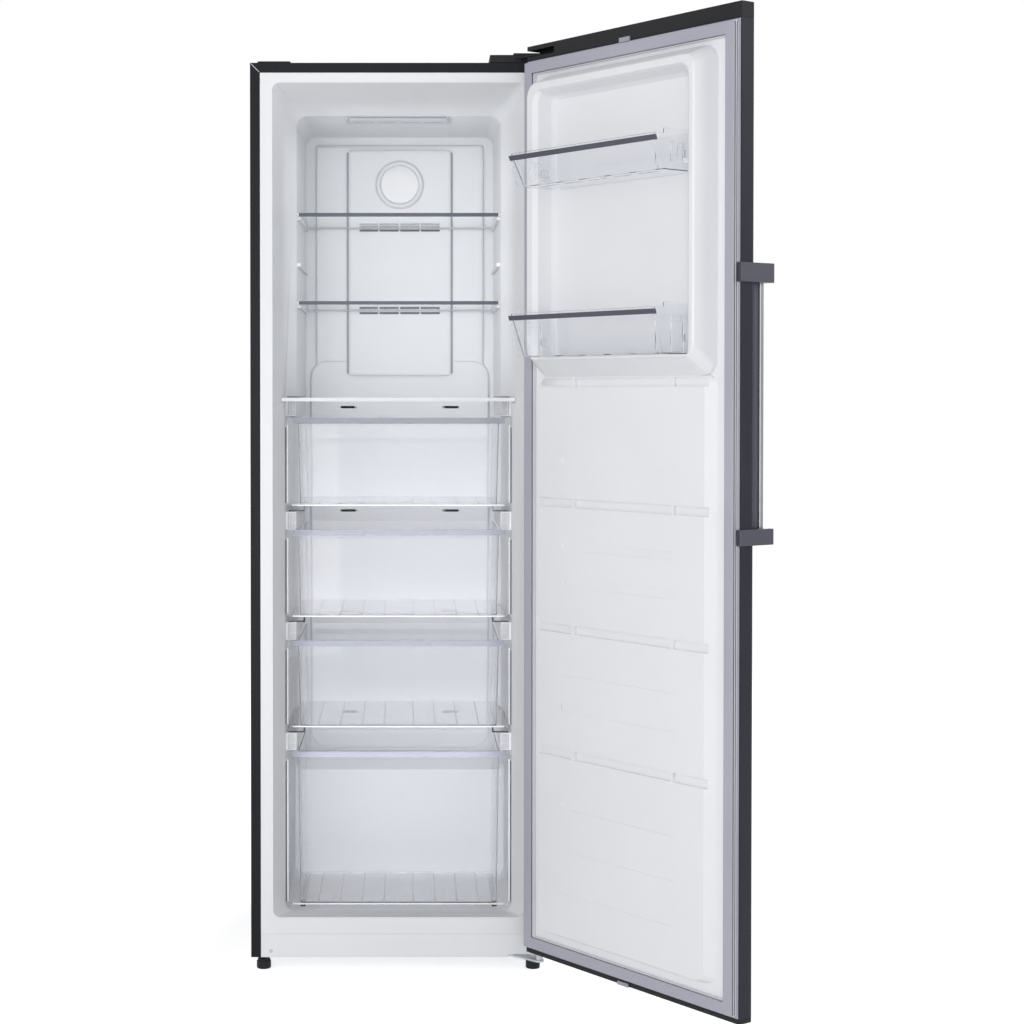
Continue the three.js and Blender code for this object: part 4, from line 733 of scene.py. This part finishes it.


# The air panel: its rim is rounded, its front is cut along the slots, the slots are sunk with painted shade on
# their floors, and a grey strip of painted shade runs down each side.
def addAirPanel():
    low, high = cabinetBox("multi_flow_panel")
    half = airPanel["half"]
    panel = addBlock("air_panel", (-half, low.y, low.z), (half, high.y, high.z))
    pickOnly(panel)
    bpy.ops.object.mode_set(mode="EDIT")
    bpy.ops.mesh.select_mode(type="EDGE")
    bpy.ops.mesh.select_all(action="SELECT")
    # wider than half the panel's thickness, so its rim stands a little proud of its face
    bpy.ops.mesh.bevel(offset=airPanel["rimRounding"] / 1000, segments=6, affect="EDGES")
    slots = airSlots()
    for x in sorted({edge for slot in slots for edge in slot[:2]}):
        bpy.ops.mesh.select_all(action="SELECT")
        bpy.ops.mesh.bisect(plane_co=spot(x, 0, 0), plane_no=(1, 0, 0))
    for z in sorted({edge for slot in slots for edge in slot[2:]}):
        bpy.ops.mesh.select_all(action="SELECT")
        bpy.ops.mesh.bisect(plane_co=spot(0, 0, z), plane_no=(0, 0, 1))
    bpy.ops.object.mode_set(mode="OBJECT")

    def isSlot(polygon):
        middle = (polygon.center - cabinetOrigin) * 1000
        return polygon.normal.y < -0.9 and any(x0 < middle.x < x1 and z0 < middle.z < z1
                                               for x0, x1, z0, z1 in slots)

    pickFaces(panel, isSlot)
    bpy.ops.mesh.extrude_region_move(TRANSFORM_OT_translate={"value": (0, airPanel["slotDepth"] / 1000, 0)})
    bpy.ops.object.mode_set(mode="OBJECT")
    softenEdges(panel, airPanel["softness"])
    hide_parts("multi_flow_panel")
    settle(panel, "multi_flow_panel")
    # dark sheets on the slot floors: painted shade inside the slots
    slotShades = []
    floor, inset = low.y + airPanel["slotDepth"], airPanel["shadeInset"]
    front, back = (floor - depth for depth in airPanel["shadeDepth"])
    for x0, x1, z0, z1 in slots:
        slotShade = addBlock("slotShade", (x0 + inset, front, z0 + inset), (x1 - inset, back, z1 - inset))
        softenEdges(slotShade, airPanel["shadeSoftness"], 1)
        slotShades.append(slotShade)
    settle(joinPieces("air_slot_painted_shade", slotShades), "multi_flow_panel", finish=slotShadeAndSeam)
    # grey strips down the panel's sides: painted shade on its side faces
    sideShades = []
    for side in (-1, 1):
        x0, x1 = sorted(side * x for x in airPanel["strip"])
        strip = addBlock("strip", (x0, low.y + airPanel["stripDepth"][0], low.z + airPanel["stripEnd"]),
                         (x1, low.y + airPanel["stripDepth"][1], high.z - airPanel["stripEnd"]))
        softenEdges(strip, airPanel["stripSoftness"])
        sideShades.append(strip)
    settle(joinPieces("air_panel_side_shade", sideShades), "multi_flow_panel", "gasket_rubber")


beadShape = {"inset": 3.4, "radius": 1.3, "sunk": 0.5, "span": (1262, 1700), "softness": 0.8}


# Moulded beads along the upright edges of the upper duct cover.
def addCoverBeads():
    low, high = cabinetBox("rear_duct_cover")
    beads = []
    for x in (low.x + beadShape["inset"], high.x - beadShape["inset"]):
        y = low.y + beadShape["sunk"]
        bead = addRod("bead", (x, y, beadShape["span"][0]), (x, y, beadShape["span"][1]), beadShape["radius"], 24)
        softenEdges(bead, beadShape["softness"], 3)
        beads.append(bead)
    return settle(joinPieces("duct_cover_beads", beads), "rear_duct_cover", finish=polishedWhite)


coverShape = {"body": (184, 248), "bodyTop": 1844.8, "arm": (231, 296.5), "armBottom": 1841.2, "edge": 1.6}


# The hinge cover: a low body and a higher arm that reaches over the hinge, open under the arm.
def addHingeCover():
    low, high = cabinetBox("top_hinge_cover")
    blocks = [addBlock("coverBody", (coverShape["body"][0], low.y, low.z),
                       (coverShape["body"][1], high.y, coverShape["bodyTop"])),
              addBlock("coverArm", (coverShape["arm"][0], low.y, coverShape["armBottom"]),
                       (coverShape["arm"][1], high.y, high.z))]
    for block in blocks:
        softenEdges(block, coverShape["edge"], 3)
    cover = joinPieces("top_hinge_hood", blocks)
    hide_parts("top_hinge_cover")
    return settle(cover, "top_hinge_cover")


binFrames = {
    "upper": {"node": "door_bin_upper", "low": 1577, "high": 1613, "bars": (45.5,), "rungs": ()},
    "lower": {"node": "door_bin_lower", "low": 1237, "high": 1305, "bars": (), "rungs": (1294,)},
}
binEnd = {"x": (196.6, 198.8), "y": (30, 62), "width": 2.6, "inset": 2, "halfBar": 1, "halfRung": 1.2,
          "softness": 0.5}


# Upright frames that stiffen a bin's end walls.
def addBinFrames(which):
    shape = binFrames[which]
    y0, y1 = binEnd["y"]
    parts = []
    for side in (-1, 1):
        x0, x1 = sorted(side * x for x in binEnd["x"])
        parts.append(addFrame("binEnd", (x0, y0, shape["low"]), (x1, y1, shape["high"]),
                              binEnd["width"], (1, 0, 0)))
        for y in shape["bars"]:
            half = binEnd["halfBar"]
            parts.append(addBlock("binBar", (x0, y - half, shape["low"] + binEnd["inset"]),
                                  (x1, y + half, shape["high"] - binEnd["inset"])))
        for z in shape["rungs"]:
            half = binEnd["halfRung"]
            parts.append(addBlock("binRung", (x0, y0 + binEnd["inset"], z - half),
                                  (x1, y1 - binEnd["inset"], z + half)))
    for part in parts:
        softenEdges(part, binEnd["softness"])
    return settle(swingOpen(joinPieces("bin_end_frames_" + which, parts)), shape["node"])


plugShape = {"side": (-7, 22), "depth": (-14.2, -10.8),
             "lift": {"top": -4.4, "bottom": -0.2},  # from the solid plug's lower edge
             "height": {"top": 9, "bottom": 7},
             "rim": 1.4, "recess": 0.6, "taper": 0.3, "softness": 0.6}


# The plug in a door cap: a wide head with a shallow recess in its face.
def addCapPlug(which):
    low = cabinetBox("cap_plug_" + which)[0].z + plugShape["lift"][which]
    (x0, x1), (y0, y1) = plugShape["side"], plugShape["depth"]
    plug = addBlock("cap_plug_head_" + which, (x0, y0, low), (x1, y1, low + plugShape["height"][which]))
    pickFaces(plug, facing((0, 1, 0)))
    bpy.ops.mesh.inset(thickness=plugShape["rim"] / 1000)
    bpy.ops.mesh.inset(thickness=plugShape["taper"] / 1000, depth=-plugShape["recess"] / 1000)
    bpy.ops.object.mode_set(mode="OBJECT")
    softenEdges(plug, plugShape["softness"])
    swingOpen(plug)
    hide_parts("cap_plug_" + which)
    return settle(plug, "cap_plug_" + which, finish=plugGrey)


barShape = {"place": (-277.7, -82), "span": (903.3, 1387.7), "radius": 5.7, "softness": 0.5}
gripShape = {"side": (-279.6, -272.6), "depth": (-74.4, -62.5), "softness": 2.2,
             "webSide": (-278.4, -276.6), "webDepth": (-77.5, -72.4), "webEnd": 1, "webSoftness": 0.3}


# The handle's tube, and the grip strip along its inner side.
def addBar():
    x, y = barShape["place"]
    low, high = barShape["span"]
    (x0, x1), (y0, y1) = gripShape["side"], gripShape["depth"]
    strip = addBlock("gripStrip", (x0, y0, low), (x1, y1, high))
    softenEdges(strip, gripShape["softness"], 4)
    (x0, x1), (y0, y1) = gripShape["webSide"], gripShape["webDepth"]
    web = addBlock("gripWeb", (x0, y0, low + gripShape["webEnd"]), (x1, y1, high - gripShape["webEnd"]))
    softenEdges(web, gripShape["webSoftness"])
    settle(swingOpen(joinPieces("handle_grip_strip", [strip, web])), "handle_bar", "grey_trim")
    bar = addRod("handle_tube", (x, y, low), (x, y, high), barShape["radius"], 64)
    softenEdges(bar, barShape["softness"])
    swingOpen(bar)
    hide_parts("handle_bar")
    return settle(bar, "handle_bar")


addGasket()
addMedallion()
for number in range(1, 5):
    addDrawerRibs(number)
    addDrawerRail(number)
    addDrawerEdges(number)
for level in ("upper", "lower"):
    addTrimCaps(level)
    addBinFrames(level)
addLampCover()
addCasingSeams()
addToeScrew()
addAirPanel()
addCoverBeads()
addHingeCover()
addRibStops()
addCapPlug("top")
addCapPlug("bottom")
addBar()
print("pieces modelled")


studio = {
    "floorSize": 60, "floorColour": (0.86, 0.86, 0.86), "floorGlow": 0.6,
    "worldLevel": 0.55, "worldColour": (0.97, 0.98, 1.0),
    "lamps": [
        {"name": "frontLamp", "place": (-0.5, -5.2, 1.3), "aim": (-0.15, 0.3, 0.8), "size": 2.6, "power": 46},
        {"name": "keyLamp", "place": (-2.6, -3.0, 2.2), "aim": (0.2, 0.0, 0.9), "size": 2.0, "power": 24},
        {"name": "doorLamp", "place": (-0.9, -2.3, 0.9), "aim": (0.5, -0.3, 0.95), "size": 1.2, "power": 5.2},
        {"name": "rightLamp", "place": (2.9, -1.6, 2.6), "aim": (0.4, -0.3, 1.1), "size": 1.6, "power": 24},
        {"name": "rearLamp", "place": (1.4, 3.6, 2.6), "aim": (0.0, 0.0, 1.0), "size": 2.4, "power": 40},
    ],
    # the freezer's own light, spread over the mouth of each space: middle height, width and height in mm
    "innerLamps": [
        {"name": "upperSpaceLight", "height": 1440, "size": (380, 480), "power": 0.42},
        {"name": "drawerSpaceLight", "height": 620, "size": (400, 880), "power": 0.66},
        {"name": "lowDrawerLight", "height": 290, "size": (400, 320), "power": 0.26},
    ],
    "innerLampDepth": 22, "innerLampSpread": 150,
}


# One for rays that show the background as it is: to the camera, in reflections and through glass.
def addSeenDirectly(tree):
    rays = tree.nodes.new("ShaderNodeLightPath")
    seen = rays.outputs["Is Camera Ray"]
    for kind in ("Is Glossy Ray", "Is Transmission Ray"):
        either = tree.nodes.new("ShaderNodeMath")
        either.operation = "MAXIMUM"
        tree.links.new(seen, either.inputs[0])
        tree.links.new(rays.outputs[kind], either.inputs[1])
        seen = either.outputs[0]
    return seen


def addFloor():
    bpy.ops.mesh.primitive_plane_add(size=studio["floorSize"], location=(0, 0, 0))
    floor = bpy.context.object
    floor.name = "studioFloor"
    material, tree, shader = newMaterial("paleFloor")
    shader.inputs["Base Color"].default_value = (*studio["floorColour"], 1)
    shader.inputs["Roughness"].default_value = 0.9
    shader.inputs["Specular IOR Level"].default_value = 0.0
    level = tree.nodes.new("ShaderNodeMath")
    level.operation = "MULTIPLY"
    level.inputs[1].default_value = studio["floorGlow"]
    tree.links.new(addSeenDirectly(tree), level.inputs[0])
    shader.inputs["Emission Color"].default_value = (1, 1, 1, 1)
    tree.links.new(level.outputs[0], shader.inputs["Emission Strength"])
    floor.data.materials.append(material)


def addWorld():
    world = bpy.data.worlds.new("studioWorld")
    world.use_nodes = True
    scene.world = world
    tree = world.node_tree
    background = tree.nodes["Background"]
    background.inputs["Color"].default_value = (*studio["worldColour"], 1)
    background.inputs["Strength"].default_value = studio["worldLevel"]
    white = tree.nodes.new("ShaderNodeBackground")
    white.inputs["Color"].default_value = (1, 1, 1, 1)
    white.inputs["Strength"].default_value = 1
    mix = tree.nodes.new("ShaderNodeMixShader")
    tree.links.new(addSeenDirectly(tree), mix.inputs["Fac"])
    tree.links.new(background.outputs[0], mix.inputs[1])
    tree.links.new(white.outputs[0], mix.inputs[2])
    tree.links.new(mix.outputs[0], tree.nodes["World Output"].inputs["Surface"])


def addLamps():
    for lamp in studio["lamps"]:
        bpy.ops.object.light_add(type="AREA", location=lamp["place"])
        light = bpy.context.object
        light.name = lamp["name"]
        light.data.shape = "SQUARE"
        light.data.size = lamp["size"]
        light.data.energy = lamp["power"]
        light.rotation_euler = (Vector(lamp["aim"]) - Vector(lamp["place"])).to_track_quat("-Z", "Y").to_euler()


# Seen only by what it lights, so it never shows as a panel.
def addInnerLamps():
    for lamp in studio["innerLamps"]:
        bpy.ops.object.light_add(type="AREA", location=spot(0, studio["innerLampDepth"], lamp["height"]),
                                 rotation=(math.radians(90), 0, 0))
        light = bpy.context.object
        light.name = lamp["name"]
        light.data.shape = "RECTANGLE"
        light.data.size, light.data.size_y = (length / 1000 for length in lamp["size"])
        light.data.energy = lamp["power"]
        light.data.spread = math.radians(studio["innerLampSpread"])
        light.visible_camera = False
        light.visible_glossy = False
        light.visible_transmission = False


view = {
    "place": (29.9, -4108.6, 1157.5),  # mm, from the cabinet's front middle
    "tilt": 1.0256, "lens": 71.78, "sensor": 36,
    "shift": (0.0966, -0.0761),
}


def addCamera():
    bpy.ops.object.camera_add(location=spot(*view["place"]))
    camera = bpy.context.object
    camera.name = "photoCamera"
    camera.rotation_euler = (math.radians(90 - view["tilt"]), 0, 0)
    camera.data.sensor_width = view["sensor"]
    camera.data.lens = view["lens"]
    camera.data.shift_x, camera.data.shift_y = view["shift"]
    camera.data.clip_end = 200
    scene.camera = camera


addFloor()
addWorld()
addLamps()
addInnerLamps()
addCamera()
scene.view_settings.view_transform = "Standard"
print("studio set")
